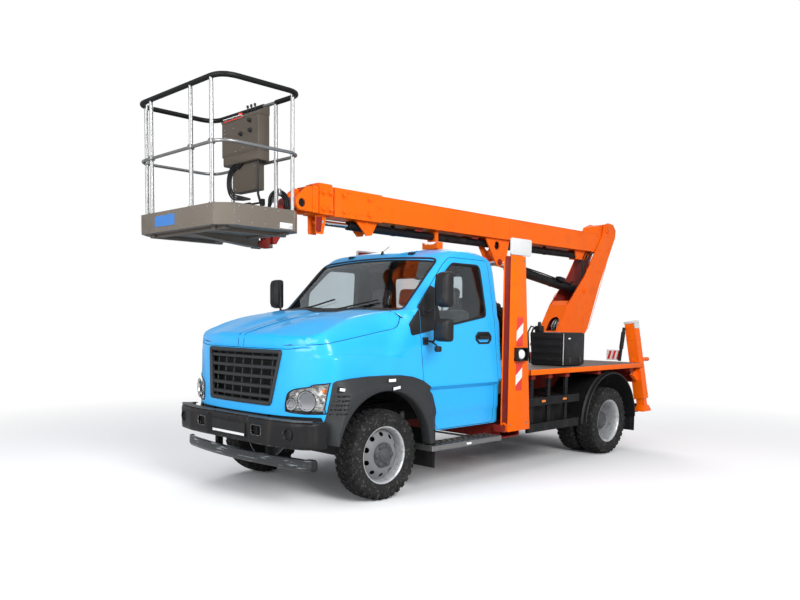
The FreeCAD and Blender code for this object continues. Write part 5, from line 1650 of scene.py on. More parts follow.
def hex_nut(x, y, z, size, height, turn=0.0):
    high = y + height
    mesh = Mesh().prism(ring_points(size, 6, (x, z), turn), "Y", y, high)
    mesh.lathe([(high, size * 0.5), (high + 0.008, size * 0.5), (high + 0.010, size * 0.3),
                (high + 0.010, 0.0005)], (x, 0, z), "Y", 12)
    return mesh


def nut_ring(circle, y, count, size=0.015, height=0.016):
    mesh = Mesh()
    for k, (x, z) in enumerate(ring_points(circle, count)):
        mesh.joined(hex_nut(x, y, z, size, height, 2 * math.pi * k / count))
    return mesh


def place_wheels(name, mesh, end, centre, paints, replaces=(), **looks):
    """One piece of the wheels at an end of the truck, on both sides; `{}` in names stands for the end."""
    x, y = centre
    mesh.moved(lambda p: (p[0] + x, p[1] + y, p[2] + TYRE_RADIUS))
    nodes = [node + "_" + end + "_{}" for node in replaces]
    both(name.format(end), mesh, paints, "wheel_" + end + "_{}", nodes, **looks)


def make_front_wheels():
    at = ("front", FRONT_WHEEL)
    place_wheels("tyre_tread_{}", tyre_mesh(), *at, "tyre_rubber", ["tyre"], bevel=0.002, segments=1,
                 crease=40)
    place_wheels("rim_barrel_{}", rim_barrel(0.0), *at, "wheel_silver", ["rim"], crease=50)
    disc = wheel_disc([(0.2395, 0.024), (0.225, 0.030), (0.205, 0.052), (0.170, 0.074), (0.150, 0.084),
                       (0.120, 0.086), (0.0, 0.086)], 10, 0.025, 0.188, 0.8)
    place_wheels("rim_disc_{}", disc, *at, "disc_grey", thickness=0.008, bevel=0.0015, segments=1)
    drum = Mesh().lathe([(0.006, 0.05), (0.006, 0.228), (0.014, 0.228), (0.014, 0.05)], ORIGIN, "Y", 48,
                        closed=True)
    place_wheels("brake_drum_{}", drum, *at, "pad_black", slot="iron")
    hub = Mesh().lathe([(0.062, 0.112), (0.092, 0.114), (0.100, 0.106), (0.106, 0.076), (0.122, 0.066),
                        (0.128, 0.060), (0.130, 0.040), (0.138, 0.036), (0.140, 0.0005)], ORIGIN, "Y", 48)
    for x, z in ring_points(0.088, 6):
        hub.lathe([(0.080, 0.026), (0.112, 0.024), (0.118, 0.016), (0.118, 0.0005)], (x, 0, z), "Y", 20)
    place_wheels("hub_{}", hub, *at, "hub_grey", bevel=0.001, segments=1)


def make_rear_wheels():
    at = ("rear", REAR_WHEELS)
    tyres = tyre_mesh(TWIN_OFFSET).joined(tyre_mesh(-TWIN_OFFSET))
    place_wheels("tyre_tread_{}", tyres, *at, "tyre_rubber", ["tyre"], bevel=0.002, segments=1, crease=40)
    rims = rim_barrel(TWIN_OFFSET).joined(rim_barrel(-TWIN_OFFSET))
    place_wheels("rim_barrel_{}", rims, *at, "wheel_silver", ["rim"], crease=50)
    dish = [(0.2395, 0.082), (0.228, 0.070), (0.200, 0.042), (0.170, 0.026), (0.155, 0.020), (0.0, 0.020)]
    outer, inner = (wheel_disc([(r, sign * a) for r, a in dish], 10, 0.021, 0.186, 0.85)
                    for sign in (1, -1))
    place_wheels("rim_disc_{}", outer, *at, "disc_grey", thickness=0.008, bevel=0.0015, segments=1)
    place_wheels("rim_disc_inner", inner, *at, "wheel_silver", thickness=0.008)
    hub = Mesh().lathe([(-0.03, 0.112), (0.118, 0.104), (0.126, 0.110), (0.146, 0.110), (0.152, 0.102),
                        (0.156, 0.075), (0.164, 0.070), (0.166, 0.0005)], ORIGIN, "Y", 48)
    hub.joined(nut_ring(0.134, 0.021, 6)).joined(nut_ring(0.090, 0.150, 8, 0.009, 0.010))
    place_wheels("hub_{}", hub, *at, "hub_grey", bevel=0.001, segments=1)


make_front_wheels()
make_rear_wheels()


# ---------------------------------------------------------------- platform, outriggers and boxes
def bolt_heads(spots, axis, size, height):
    """Hexagon heads on washers that stand on the spots (x, y, z) along the axis."""
    mesh = Mesh()
    for x, y, z in spots:
        mesh.lathe([(0, 0.0005), (0, size * 1.35), (0.002, size * 1.35), (0.002, size)], (x, y, z), axis, 6)
        mesh.lathe([(0.002, size), (height, size), (height + 0.0015, size * 0.7),
                    (height + 0.0015, 0.0005)], (x, y, z), axis, 6)
    return mesh


LEG_Y = (1.070, 1.165)  # the left front leg's inner and outer face


def make_legs():
    y0, y1 = LEG_Y
    outline = [(0.025, 0.486), (0.415, 0.486), (0.415, 2.29), (0.170, 2.29)]
    inner = [(0.045, 0.500), (0.402, 0.500), (0.402, 2.28), (0.186, 2.28)]
    leg = Mesh().prism(outline, "Y", y1 - 0.008, y1)
    leg.prism(outline, "Y", y0, y0 + 0.008)
    # The core between the plates is dark red; on its front face, set back between the plates, this red is
    # painted shade.
    leg.prism(inner, "Y", y0 + 0.004, y1 - 0.004, paint=1)
    leg.prism([(0.024, 1.995), (0.1435, 1.995), (0.1445, 2.004), (0.0250, 2.004)], "Y", y0, y0 + 0.001)
    seam = [(0.150, 1.998), (0.417, 1.998), (0.417, 2.003), (0.150, 2.003)]
    leg.prism(seam, "Y", y1 - 0.002, y1 + 0.0015)
    leg.box((0.20, 1.092, 2.285), (0.34, 1.148, 2.42))
    both("leg_beam", leg, "orange_paint red_paint", "front_leg_{}", bevel=0.003, replaces=["front_leg_{}"])
    eye = Mesh()
    for x in (0.036, 0.404):
        eye.lathe([(-0.012, 0.05), (0.012, 0.05), (0.012, 0.0265), (-0.012, 0.0265)], (x, 1.11, 0.53), "X",
                  28, closed=True)
    both("leg_eyes", eye, "orange_paint", "front_leg_{}", bevel=0.001, segments=1)


def make_leg_feet():
    foot = Mesh().prism(rounded_rectangle(0.072, 2.296, 0.418, 2.465, 0.02, 4), "Y", 1.146, 1.168)
    foot.prism(rounded_rectangle(0.092, 2.316, 0.398, 2.445, 0.02, 4), "Y", 1.1405, 1.150, paint=1)
    foot.prism([(0.16, 2.33), (0.36, 2.33), (0.33, 2.43), (0.19, 2.43)], "Y", 1.118, 1.142, paint=1)
    both("leg_foot", foot, "foot_grey red_paint", "front_leg_{}", bevel=0.003)


def make_leg_markings():
    y1 = LEG_Y[1]
    strips = Mesh()
    x0, x1 = 0.187, 0.297
    rise = 0.75 * (x1 - x0)  # the slope of the stripes' ends
    for z0, z1 in ((1.365, 1.665), (0.905, 1.205)):
        cuts = [z0, z0 + 0.055, z1 - 0.14, z1]
        for k, (low, high) in enumerate(zip(cuts, cuts[1:])):
            corners = [(x0, low + rise * (k > 0)), (x1, low), (x1, high), (x0, high + rise * (k < 2))]
            strips.prism(corners, "Y", y1 - 0.001, y1 + 0.0012, paint=k % 2)
    both("leg_stripes", strips, "stripe_red stripe_white", "front_leg_{}")
    lamp = Mesh()
    for x0, z0, x1, z1, reach in (
        (0.150, 1.216, 0.162, 1.350, 0.052),
        (0.322, 1.216, 0.334, 1.350, 0.052),
        (0.150, 1.342, 0.334, 1.352, 0.052),
        (0.150, 1.214, 0.334, 1.224, 0.052),
        (0.160, 1.220, 0.324, 1.346, 0.006),
    ):
        lamp.box((x0, y1, z0), (x1, y1 + reach, z1))
    both("leg_lamp_guard", lamp, "frame_black", "front_leg_{}", bevel=0.0015, segments=1)
    glass = Mesh().lathe([(0.004, 0.0005), (0.004, 0.052), (0.030, 0.052), (0.040, 0.044), (0.045, 0.03),
                          (0.046, 0.0005)], (0.242, y1, 1.283), "Y", 28)
    both("leg_lamp", glass, "marker_white", "front_leg_{}")
    spots = [(x, y1, z) for x, z in ((0.09, 0.56), (0.38, 0.56), (0.37, 2.24), (0.20, 2.24))]
    bolts = bolt_heads(spots, "Y", 0.009, 0.006)
    both("leg_bolts", bolts, "galvanised", "front_leg_{}")


def channel(outline, z0, z1, wall, lip):
    """An outward-facing side skirt round a rectangle (x0, y0, x1, y1), with a turned-in lower lip."""
    x0, y0, x1, y1 = outline
    mesh = Mesh()
    mesh.box((x0, y0, z0), (x1, y0 + wall, z1))
    mesh.box((x0, y1 - wall, z0), (x1, y1, z1))
    mesh.box((x0, y0, z0), (x0 + wall, y1, z1))
    mesh.box((x1 - wall, y0, z0), (x1, y1, z1))
    mesh.box((x0, y0, z0), (x1, y0 + lip, z0 + wall / 2))
    mesh.box((x0, y1 - lip, z0), (x1, y1, z0 + wall / 2))
    return mesh


def make_deck():
    x0, x1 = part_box("deck")[0].x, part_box("deck")[1].x
    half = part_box("deck")[1].y
    skirt = channel((x0, -half, x1, half), 1.050, 1.108, 0.010, 0.05)
    build("deck_skirt", skirt, "orange_paint", bevel=0.002, replaces=["deck"])
    sheet = Mesh().box((x0 + 0.006, -half + 0.012, 1.102), (x1 - 0.006, half - 0.012, 1.110))
    for y in (-0.55, 0.0, 0.55):
        sheet.box((x0 + 0.006, y - 0.002, 1.1095), (x1 - 0.006, y + 0.002, 1.1112))
    build("deck_sheet", sheet, "deck_steel", bevel=0.001, segments=1)
    under = Mesh()
    for i in range(9):
        x = x0 + 0.14 + i * (x1 - x0 - 0.28) / 8
        under.box((x - 0.02, -half + 0.012, 1.062), (x + 0.02, half - 0.012, 1.102))
    build("deck_bearers", under, "frame_black")


CABINET_X, CABINET_Y, CABINET_Z = (-1.240, -0.815), (0.570, 1.020), (1.115, 1.500)


def make_cabinet():
    (x0, x1), (y0, y1), (z0, z1) = CABINET_X, CABINET_Y, CABINET_Z
    loop = rounded_outline([(x0, y0, 0.025), (x1, y0, 0.025), (x1, y1, 0.004), (x0, y1, 0.004)], 4)
    rings = []
    for z, s in ((z0, 0.012), (z0 + 0.006, 0.003), (z0 + 0.014, 0.0), (z1 - 0.016, 0.0),
                 (z1 - 0.005, 0.004), (z1, 0.014)):
        cx, cy = (x0 + x1) / 2, (y0 + y1) / 2
        rings.append([(x - math.copysign(s, x - cx), y - math.copysign(s, y - cy), z) for x, y in loop])
    box = Mesh().loft(rings)
    for i in range(4):
        z = 1.165 + i * 0.085
        box.box((x1 - 0.002, y0 + 0.04, z), (x1 + 0.006, y1 - 0.03, z + 0.045))
    for x in (x0 + 0.05, x1 - 0.05):
        for y in (y0 + 0.05, y1 - 0.05):
            box.box((x - 0.03, y - 0.03, 1.108), (x + 0.03, y + 0.03, 1.118))
    build("cabinet_shell", box, "black_plastic", bevel=0.003, replaces=["deck_cabinet"])


def make_cabinet_door():
    (x0, x1), (z0, z1) = CABINET_X, CABINET_Z
    door = Mesh()
    door.prism(rounded_rectangle(x0 + 0.004, z0 + 0.010, x1 - 0.004, z1 - 0.006, 0.02, 4), "Y", 1.0245,
               1.040)
    door.prism(rounded_rectangle(x0 + 0.03, z0 + 0.035, x1 - 0.03, z1 - 0.03, 0.015, 4), "Y", 1.036, 1.0430)
    build("cabinet_door_panel", door, "black_plastic", "cabinet_door", bevel=0.003,
          replaces=["cabinet_door"])
    corner = Mesh().prism(rounded_outline([(x1 - 0.010, 1.018, 0.004), (x1 + 0.004, 1.018, 0.004),
                                           (x1 + 0.004, 1.0235, 0.003), (x1 - 0.010, 1.0235, 0.003)], 2),
                          "Z", z0 + 0.012, z1 - 0.012)
    build("cabinet_corner", corner, "foot_grey", bevel=0.001, segments=1)
    fittings = Mesh()
    for x in (x0 + 0.10, x1 - 0.10):
        fittings.joined(rounded_block((x - 0.018, 1.040, 1.150), (x + 0.018, 1.052, 1.215), 0.005))
        fittings.joined(rounded_block((x - 0.010, 1.048, 1.17), (x + 0.010, 1.056, 1.205), 0.003))
    build("cabinet_latches", fittings, "iron", "cabinet_door")
    label = Mesh().box((x1 - 0.115, 1.0425, 1.425), (x1 - 0.065, 1.0442, 1.440))
    build("cabinet_label", label, "stripe_white", "cabinet_door")


def make_cabinet_valve():
    valve = rounded_block((-0.93, 0.60, 1.498), (-0.84, 0.68, 1.575), 0.012)
    valve.lathe([(0, 0.022), (0.03, 0.022), (0.035, 0.018), (0.05, 0.018)], (-0.885, 0.64, 1.572), "Z", 16)
    valve.tube([(-0.89, 0.60, 1.53), (-0.89, 0.55, 1.54), (-0.88, 0.53, 1.48), (-0.90, 0.53, 1.30),
                (-0.92, 0.54, 1.13)], 0.012, 10)
    valve.tube([(-0.86, 0.60, 1.55), (-0.86, 0.54, 1.57), (-0.84, 0.51, 1.50), (-0.86, 0.51, 1.30),
                (-0.88, 0.52, 1.13)], 0.010, 10)
    build("cabinet_valve", valve, "black_plastic", bevel=0.001, segments=1)


def make_mudguards():
    x, z = REAR_WHEELS[0], TYRE_RADIUS
    section = [(0.590, 0.562), (0.590, 1.118), (0.584, 1.132), (0.596, 1.138), (0.606, 1.130),
               (0.600, 1.112), (0.600, 1.090), (0.612, 1.084), (0.622, 1.076), (0.618, 1.066),
               (0.606, 1.062), (0.604, 0.562)]
    angles = np.radians(np.linspace(1.5, 178.5, 61))
    arch = Mesh().loft([[(x + r * math.cos(a), y, z + r * math.sin(a)) for r, y in section]
                        for a in angles])
    arch.tube([(x, 0.42, 0.982), (x, 0.70, 0.982), (x, 1.05, 0.990)], 0.016, 12)
    both("mudguard_arch", arch, "black_plastic", bevel=0.001, segments=1, replaces=["mudguard_{}"],
         crease=45)
    flap = Mesh().box((x - 0.615, 0.60, 0.235), (x - 0.604, 1.120, 0.50))
    for k in range(6):
        y = 0.66 + k * 0.08
        flap.box((x - 0.619, y, 0.26), (x - 0.600, y + 0.014, 0.47))
    both("mudflap_rear", flap, "black_plastic", bevel=0.002, segments=1)
    lamp = Mesh()
    for px, pz in ((-0.30, 0.755), (-0.72, 0.755)):
        lamp.joined(rounded_block((px - 0.035, 1.112, pz - 0.012), (px + 0.035, 1.122, pz + 0.012), 0.004))
    both("guard_markers", lamp, "amber")


def make_steps():
    z = 0.455
    outline = dense(rounded_rectangle(0.902, -1.528, 1.128, -0.462, 0.02, 4), 0.03)
    holes = []
    for i in range(13):
        for j in range(3):
            u = 0.945 + j * 0.07
            v = -1.485 + i * 0.082 + (0.02 if j == 1 else 0)
            holes.append(rounded_rectangle(u - 0.022, v - 0.024, u + 0.022, v + 0.024, 0.01, 3))
    tread = Mesh().add(*patch(lambda px, py, pz: pz - z, TOP_PLANE, outline, holes, spacing=0.02))
    both("step_tread", tread, "galvanised", thickness=0.004, bevel=0.0012, segments=1,
         replaces=["running_board_{}"])
    side = Mesh()
    for y in (0.902, 1.122):
        side.box((0.466, y, 0.405), (1.524, y + 0.006, z - 0.003))
    for x in (0.464, 1.520):
        side.box((x, 0.904, 0.405), (x + 0.006, 1.126, z - 0.003))
    for x in (0.73, 1.23):
        side.box((x - 0.03, 0.43, 0.440), (x + 0.03, 1.10, 0.450))
        side.box((x - 0.03, 0.43, 0.440), (x + 0.03, 0.445, 0.70))
    both("step_frame", side, "galvanised", bevel=0.002, segments=1)
    marker = Mesh().joined(rounded_block((0.96, 1.128, 0.418), (1.03, 1.136, 0.440), 0.004))
    both("step_marker", marker, "marker_white")


JACK_TOP = Vector((-2.565, 0.935, 1.640))
JACK_LEAN = math.radians(10)
JACK_LENGTH = 1.150


def make_rear_outriggers():
    x, y, z = JACK_TOP
    turn = Matrix.Rotation(JACK_LEAN, 3, "X")

    def lean(mesh):
        return mesh.moved(lambda p: JACK_TOP + turn @ (Vector(p) - JACK_TOP))

    cap = rounded_block((-2.632, y - 0.078, z - 0.03), (-2.498, y + 0.078, z + 0.004), 0.008)
    cap.box((-2.628, y + 0.062, z - 0.10), (-2.502, y + 0.074, z - 0.02))
    both("jack_cap", lean(cap), "foot_grey")
    strap = Mesh()
    for level in (z - 0.25, z - 0.62, z - 0.98):
        strap.box((-2.628, y - 0.073, level), (-2.502, y + 0.073, level + 0.03))
    both("jack_bands", lean(strap), "orange_paint", bevel=0.003, segments=1)
    strut = Mesh()
    strut.tube([(-2.47, 0.885, 1.56), (-2.47, 0.835, 1.12)], 0.020, 14)
    strut.tube([(-2.47, 0.878, 1.50), (-2.47, 0.853, 1.28)], 0.027, 14)
    both("jack_strut", strut, "black_plastic", crease=50)
    foot_y = y + JACK_LENGTH * math.sin(JACK_LEAN)
    foot_z = z - JACK_LENGTH * math.cos(JACK_LEAN)
    toe = Mesh().loft([[(x + sx * wx, foot_y + sy * wy, foot_z + h) for sx, sy in SQUARE] for wx, wy,
                       h in ((0.104, 0.070, -0.029), (0.104, 0.070, -0.012), (0.07, 0.05, 0.05))])
    both("jack_toe", toe, "orange_paint", "rear_jack_leg_{}", bevel=0.004)
    bar = Mesh().tube([(-2.50, 1.00, 1.14), (-2.93, 1.00, 1.14)], 0.026, 16)
    both("stowed_bar", bar, "orange_paint", bevel=0.003)


def make_rear_lamps():
    plate = Mesh()
    for k in range(3):
        y0 = 0.655 + k * 0.065
        plate.prism([(y0, 1.14), (y0 + 0.03, 1.14), (y0 + 0.06, 1.25), (y0 + 0.03, 1.25)], "X", -2.476,
                    -2.4725, paint=1)
    plate.prism([(0.64, 1.125), (0.855, 1.125), (0.855, 1.265), (0.64, 1.265)], "X", -2.480, -2.475)
    both("rear_marking", plate, "stripe_white stripe_red")
    tail = rounded_block((-2.662, 0.565, 0.705), (-2.628, 0.795, 0.825), 0.01)
    both("tail_lamp_body", tail, "black_plastic")
    lens = Mesh()
    for k, paint in enumerate((0, 0, 1)):
        y0 = 0.578 + k * 0.070
        lens.joined(rounded_block((-2.672, y0, 0.718), (-2.655, y0 + 0.064, 0.812), 0.006))
        lens.paints[-1] = paint
    both("tail_lamp_lens", lens, "lens_red amber")


def make_behind_cab():
    hoses = Mesh()
    for k, y in enumerate((0.10, 0.16, 0.22)):
        hoses.tube([(0.40, y, 1.30 - k * 0.03), (0.30, y + 0.02, 1.24), (0.22, y + 0.05, 1.14),
                    (0.12, y + 0.06, 1.10), (0.02, y + 0.05, 1.125), (-0.2, y + 0.04, 1.122)], 0.012, 10)
    build("service_hoses", hoses, "black_plastic")
    box = rounded_block((0.20, 0.86, 0.86), (0.33, 0.98, 1.00), 0.012)
    build("junction_box", box, "trim_grey")


def make_spare_wheel():
    """The spare stands across the truck behind the cab."""
    rim = wheel_disc([(0.2395, 0.024), (0.205, 0.052), (0.150, 0.084), (0.0, 0.086)], 10, 0.021, 0.190, 0.8)
    for name, mesh, paint, looks in (
        ("spare_tyre", tyre_mesh(), "tyre_rubber", {"bevel": 0.002, "segments": 1, "crease": 40}),
        ("spare_disc", rim, "wheel_silver", {"thickness": 0.008, "replaces": ["spare_wheel"]}),
        ("spare_barrel", rim_barrel(0.0), "wheel_silver", {}),
    ):
        build(name, mesh.moved(lambda p: SPARE_PLACE + Vector((-p[1], p[0], p[2]))), paint, **looks)


make_legs()
make_leg_feet()
make_leg_markings()
make_deck()
make_cabinet()
make_cabinet_door()
make_cabinet_valve()
make_mudguards()
make_steps()
make_rear_outriggers()
make_rear_lamps()
make_behind_cab()
make_spare_wheel()


# ---------------------------------------------------------------- column, boom and cylinders
ELBOW = (-3.270, 2.960)
PORT_Y, PORT_Z, PORT_RADIUS = 0.034, 1.610, 0.084
SLEW_X = -2.2
CYLINDER_BASE = (-2.680, 2.070)
CYLINDER_EYE = (-0.815, 2.345)
HEAD = (2.285, 2.695)


def pin_cap(x, z, y, radius, thick=0.012):
    """A round keeper plate with three screws and a raised pin end, facing +Y."""
    mesh = Mesh().lathe([(0, 0.0005), (0, radius), (thick * 0.8, radius), (thick, radius - 0.003),
                         (thick, radius * 0.5), (thick * 1.8, radius * 0.47), (thick * 1.8, 0.0005)],
                        (x, y, z), "Y", 36)
    spots = [(px, y + thick, pz) for px, pz in ring_points(radius * 0.74, 3, (x, z), 0.4)]
    return mesh.joined(bolt_heads(spots, "Y", 0.007, 0.006))


def with_mirror(mesh):
    return Mesh().joined(mesh).joined(mesh.mirrored())


def along_cylinder(distance):
    dx, dz = CYLINDER_EYE[0] - CYLINDER_BASE[0], CYLINDER_EYE[1] - CYLINDER_BASE[1]
    length = math.hypot(dx, dz)
    return Vector((CYLINDER_BASE[0] + dx / length * distance, 0, CYLINDER_BASE[1] + dz / length * distance))


def column_front(y, z):
    """A point on the sloped front plates of the column."""
    return (-2.062 - (z - 1.540) * 0.215 / 0.315 if z > 1.54 else -1.932 - (z - 1.33) * 0.13 / 0.21), y, z


def make_column():
    caps = pin_cap(*ELBOW, 0.150, 0.062).joined(pin_cap(*CYLINDER_BASE, 0.150, 0.045))
    build("column_pins", with_mirror(caps), "orange_paint", "turntable", bevel=0.001, segments=1)
    seams = Mesh()
    for line in ([(-2.62, 1.36), (-2.86, 1.56), (-3.15, 2.16), (-3.46, 2.83)],
                 [(-2.03, 1.37), (-2.23, 1.70), (-2.45, 2.02)]):
        seams.tube([(x + 0.03, 0.150, z) for x, z in dense(line, 0.1, closed=False)], 0.0035, 6)
    spots = [(x, 0.150, z) for x, z in ((-3.02, 2.35), (-2.87, 2.62), (-2.75, 1.75), (-3.30, 2.66))]
    seams.joined(bolt_heads(spots, "Y", 0.012, 0.010))
    build("column_seams", with_mirror(seams), "orange_paint", "turntable")
    rim = [(-1.945, 1.340), (-2.070, 1.545), (-2.283, 1.860), (-2.692, 2.256), (-3.145, 2.862),
           (-3.176, 3.016), (-3.280, 3.044), (-3.416, 3.034), (-3.494, 2.958), (-3.484, 2.862)]
    edge = Mesh().tube([(x, 0.1415, z) for x, z in rim], 0.0075, 8)
    build("column_edge_weld", with_mirror(edge), "orange_paint", "turntable")
    # Plates just inside both cheeks, drawn dark red over the orange steel: painted shade on the column's
    # inner faces.
    inner = [(-1.975, 1.36), (-2.085, 1.555), (-2.300, 1.885), (-2.705, 2.285), (-3.100, 2.800),
             (-3.440, 2.850), (-3.060, 2.190), (-2.770, 1.560), (-2.560, 1.36)]
    liner = Mesh().prism(inner, "Y", 0.1285, 0.1325)
    build("column_inside", with_mirror(liner), "red_paint", "turntable", slot="orange_paint")
    port = arc((PORT_Y, PORT_Z), PORT_RADIUS, 0, 180, 19)
    port += [(PORT_Y - PORT_RADIUS, PORT_Z - 0.11), (PORT_Y + PORT_RADIUS, PORT_Z - 0.11)]
    rim = [column_front(y, z) for y, z in dense(port, 0.02)]
    build("column_port", Mesh().tube(rim, 0.005, 6, closed=True, up=(0.8, 0, 0.6)), "orange_paint",
          "turntable")
    lining = Mesh().prism([(-2.31, 1.40), (-2.33, 1.42), (-2.56, 1.80), (-2.54, 1.80)], "Y", -0.128, 0.128)
    build("column_lining", lining, "red_paint", "turntable")


def make_column_hoses():
    fittings = Mesh()
    for y in (-0.02, 0.02, 0.06, 0.10):
        fittings.tube([(-2.16, y, 1.50), (-2.15, y, 1.58), (-2.17, y + 0.02, 1.63),
                       (-2.22, y + 0.02, 1.67)], 0.011, 10)
        fittings.lathe([(0, 0.0005), (0, 0.017), (0.022, 0.017), (0.022, 0.0005)], (-2.15, y, 1.55), "Z", 6)
    build("column_fittings", fittings, "galvanised", "turntable")
    hoses = Mesh()
    for k in range(3):
        y = 0.118 - 0.028 * k
        loop = arc((-2.99, 2.44), 0.17 + 0.022 * k, -25, 135, 14, (1.1, 1))
        hoses.tube([(-2.72, y, 2.13)] + [(x, y, z) for x, z in loop], 0.010, 10)
    hoses.tube([(-2.46, 0.10, 1.72), (-2.40, 0.12, 1.95), (-2.52, 0.11, 2.06), (-2.66, 0.10, 2.12)], 0.011,
               10)
    build("column_hoses", hoses, "black_plastic", "turntable")


def make_slew_ring():
    spots = [(x, y, 1.200) for x, y in ring_points(0.315, 20, (SLEW_X, 0))]
    build("slew_ring_bolts", bolt_heads(spots, "Z", 0.010, 0.010), "galvanised")
    spots = [(x, y, 1.330) for x, y in ring_points(0.305, 16, (SLEW_X, 0), math.pi / 16) if abs(y) > 0.17]
    build("column_foot_bolts", bolt_heads(spots, "Z", 0.010, 0.010), "orange_paint", "turntable")
    gear = rounded_block((-1.93, -0.42, 1.118), (-1.76, -0.26, 1.30), 0.02)
    gear.lathe([(0, 0.055), (0.10, 0.055), (0.105, 0.045), (0.15, 0.045)], (-1.845, -0.34, 1.295), "Z", 24)
    build("slew_drive", gear, "frame_black", bevel=0.002, segments=1)


def make_collar():
    bosses = Mesh()
    for x in (1.925, 2.015):
        for z in (2.670, 2.830):
            bosses.lathe([(0, 0.0005), (0, 0.034), (0.008, 0.034), (0.008, 0.024), (0.022, 0.023),
                          (0.026, 0.018), (0.026, 0.0005)], (x, 0.125, z), "Y", 28)
    build("collar_bosses", with_mirror(bosses), "orange_paint", "boom_mid", bevel=0.001, segments=1)
    plate = Mesh().prism([(1.872, 2.882), (2.058, 2.882), (2.040, 2.914), (1.890, 2.914)], "Y", -0.105,
                         0.105)
    plate.box((1.905, -0.07, 2.913), (2.03, 0.07, 2.920))
    build("collar_top_plate", plate, "orange_paint", "boom_mid", bevel=0.003)


def make_boom_head():
    x, z = HEAD
    boss = Mesh().lathe([(0.0, 0.070), (0.030, 0.070), (0.034, 0.064), (0.034, 0.040), (0.0, 0.040)],
                        (x, 0.112, z), "Y", 40, closed=True)
    build("head_bosses", with_mirror(boss), "orange_paint", "boom_inner", bevel=0.002, segments=1)
    core = Mesh().lathe([(0.0, 0.0005), (0.0, 0.038), (0.004, 0.038), (0.004, 0.0005)], (x, 0.126, z), "Y",
                        24)
    build("head_pin_end", with_mirror(core), "frame_black", "basket_mount")


BOOM_SIDE = 0.125  # y of the outer section's side
COVER_SIDE = 0.133  # and of the wider part ahead of it


def make_boom_seams():
    seams = Mesh()
    for x in (1.245, 1.30, 1.55, 1.76, 1.876):
        seams.box((x - 0.003, 0.1325, 2.625), (x + 0.003, 0.1345, 2.878))
    seams.prism([(1.33, 2.66), (1.72, 2.66), (1.72, 2.85), (1.33, 2.85)], "Y", 0.1325, 0.1338)
    spots = [(x, COVER_SIDE, z) for x, z in ((1.40, 2.645), (1.60, 2.645), (1.70, 2.855), (1.27, 2.75))]
    spots += [(x, BOOM_SIDE, 2.84) for x in (-3.05, -2.7, -2.2)]
    seams.joined(bolt_heads(spots, "Y", 0.009, 0.007))
    for x in (-0.62, -0.95):
        seams.box((x - 0.004, BOOM_SIDE, 2.622), (x + 0.004, BOOM_SIDE + 0.002, 2.86))
    for x in (1.42, 1.76):
        for z in (2.672, 2.828):
            seams.lathe([(0, 0.0005), (0, 0.030), (0.007, 0.030), (0.007, 0.021), (0.020, 0.020),
                         (0.023, 0.016), (0.023, 0.0005)], (x, COVER_SIDE, z), "Y", 28)
    build("boom_seams", with_mirror(seams), "orange_paint", "boom", bevel=0.001, segments=1)
    welds = Mesh()
    for z in (2.6235, 2.8765):
        welds.tube([(-3.17, 0.1245, z), (1.24, 0.1245, z)], 0.0035, 6)
    build("boom_edge_weld", with_mirror(welds), "orange_paint", "boom")


def make_boom_fittings():
    caps = pin_cap(*CYLINDER_EYE, 0.082, 0.04)
    build("cylinder_eye_caps", with_mirror(caps), "red_paint", "boom", bevel=0.001, segments=1)
    small = Mesh()
    for x in (-0.35, 0.62):
        small.prism([(x - 0.07, 2.622), (x + 0.07, 2.622), (x + 0.05, 2.585), (x - 0.05, 2.585)], "Y",
                    0.060, 0.072)
    small.prism([(1.975, 2.60), (2.050, 2.60), (2.052, 2.47), (2.03, 2.45), (1.99, 2.46)], "Y", 0.062,
                0.066)
    build("boom_tube_brackets", with_mirror(small), "red_paint", "boom", bevel=0.002, segments=1)
    clips = Mesh()
    for x in (-1.9, -1.1, 0.95):
        clips.lathe([(-0.02, 0.046), (0.02, 0.046), (0.02, 0.0425), (-0.02, 0.0425)], (x, 0, 2.557), "X",
                    32, closed=True)
        clips.box((x - 0.02, -0.012, 2.597), (x + 0.02, 0.012, 2.622))
    build("boom_tube_clips", clips, "frame_black", "boom", bevel=0.001, segments=1)
    lines = Mesh()
    for y in (-0.072, -0.092):
        lines.tube([(-3.02, y, 2.605), (-2.4, y, 2.608), (-1.2, y, 2.608), (0.2, y, 2.608),
                    (1.2, y, 2.606)], 0.008, 8)
    build("boom_pipes", lines, "black_plastic", "boom")


def make_head_hoses():
    hoses = Mesh()
    for k in range(4):
        y = 0.098 + 0.014 * (k % 2)
        loop = [(x, y, z) for x, z in arc((2.520, 2.665), 0.078 + 0.012 * k, 185, -5, 16)]
        path = [(2.36, y * 0.9, 2.585), (2.42 - 0.008 * k, y, 2.60)] + loop + [(2.610, y * 0.6, 2.58)]
        hoses.tube(path, 0.0095, 10)
    build("head_hoses", hoses, "black_plastic", "basket_mount")
    clamp = rounded_block((2.505, 0.078, 2.735), (2.535, 0.128, 2.795), 0.008)
    clamp.box((2.512, 0.0, 2.68), (2.528, 0.09, 2.745))
    build("head_hose_clamp", clamp, "galvanised", "basket_mount", bevel=0.001, segments=1)


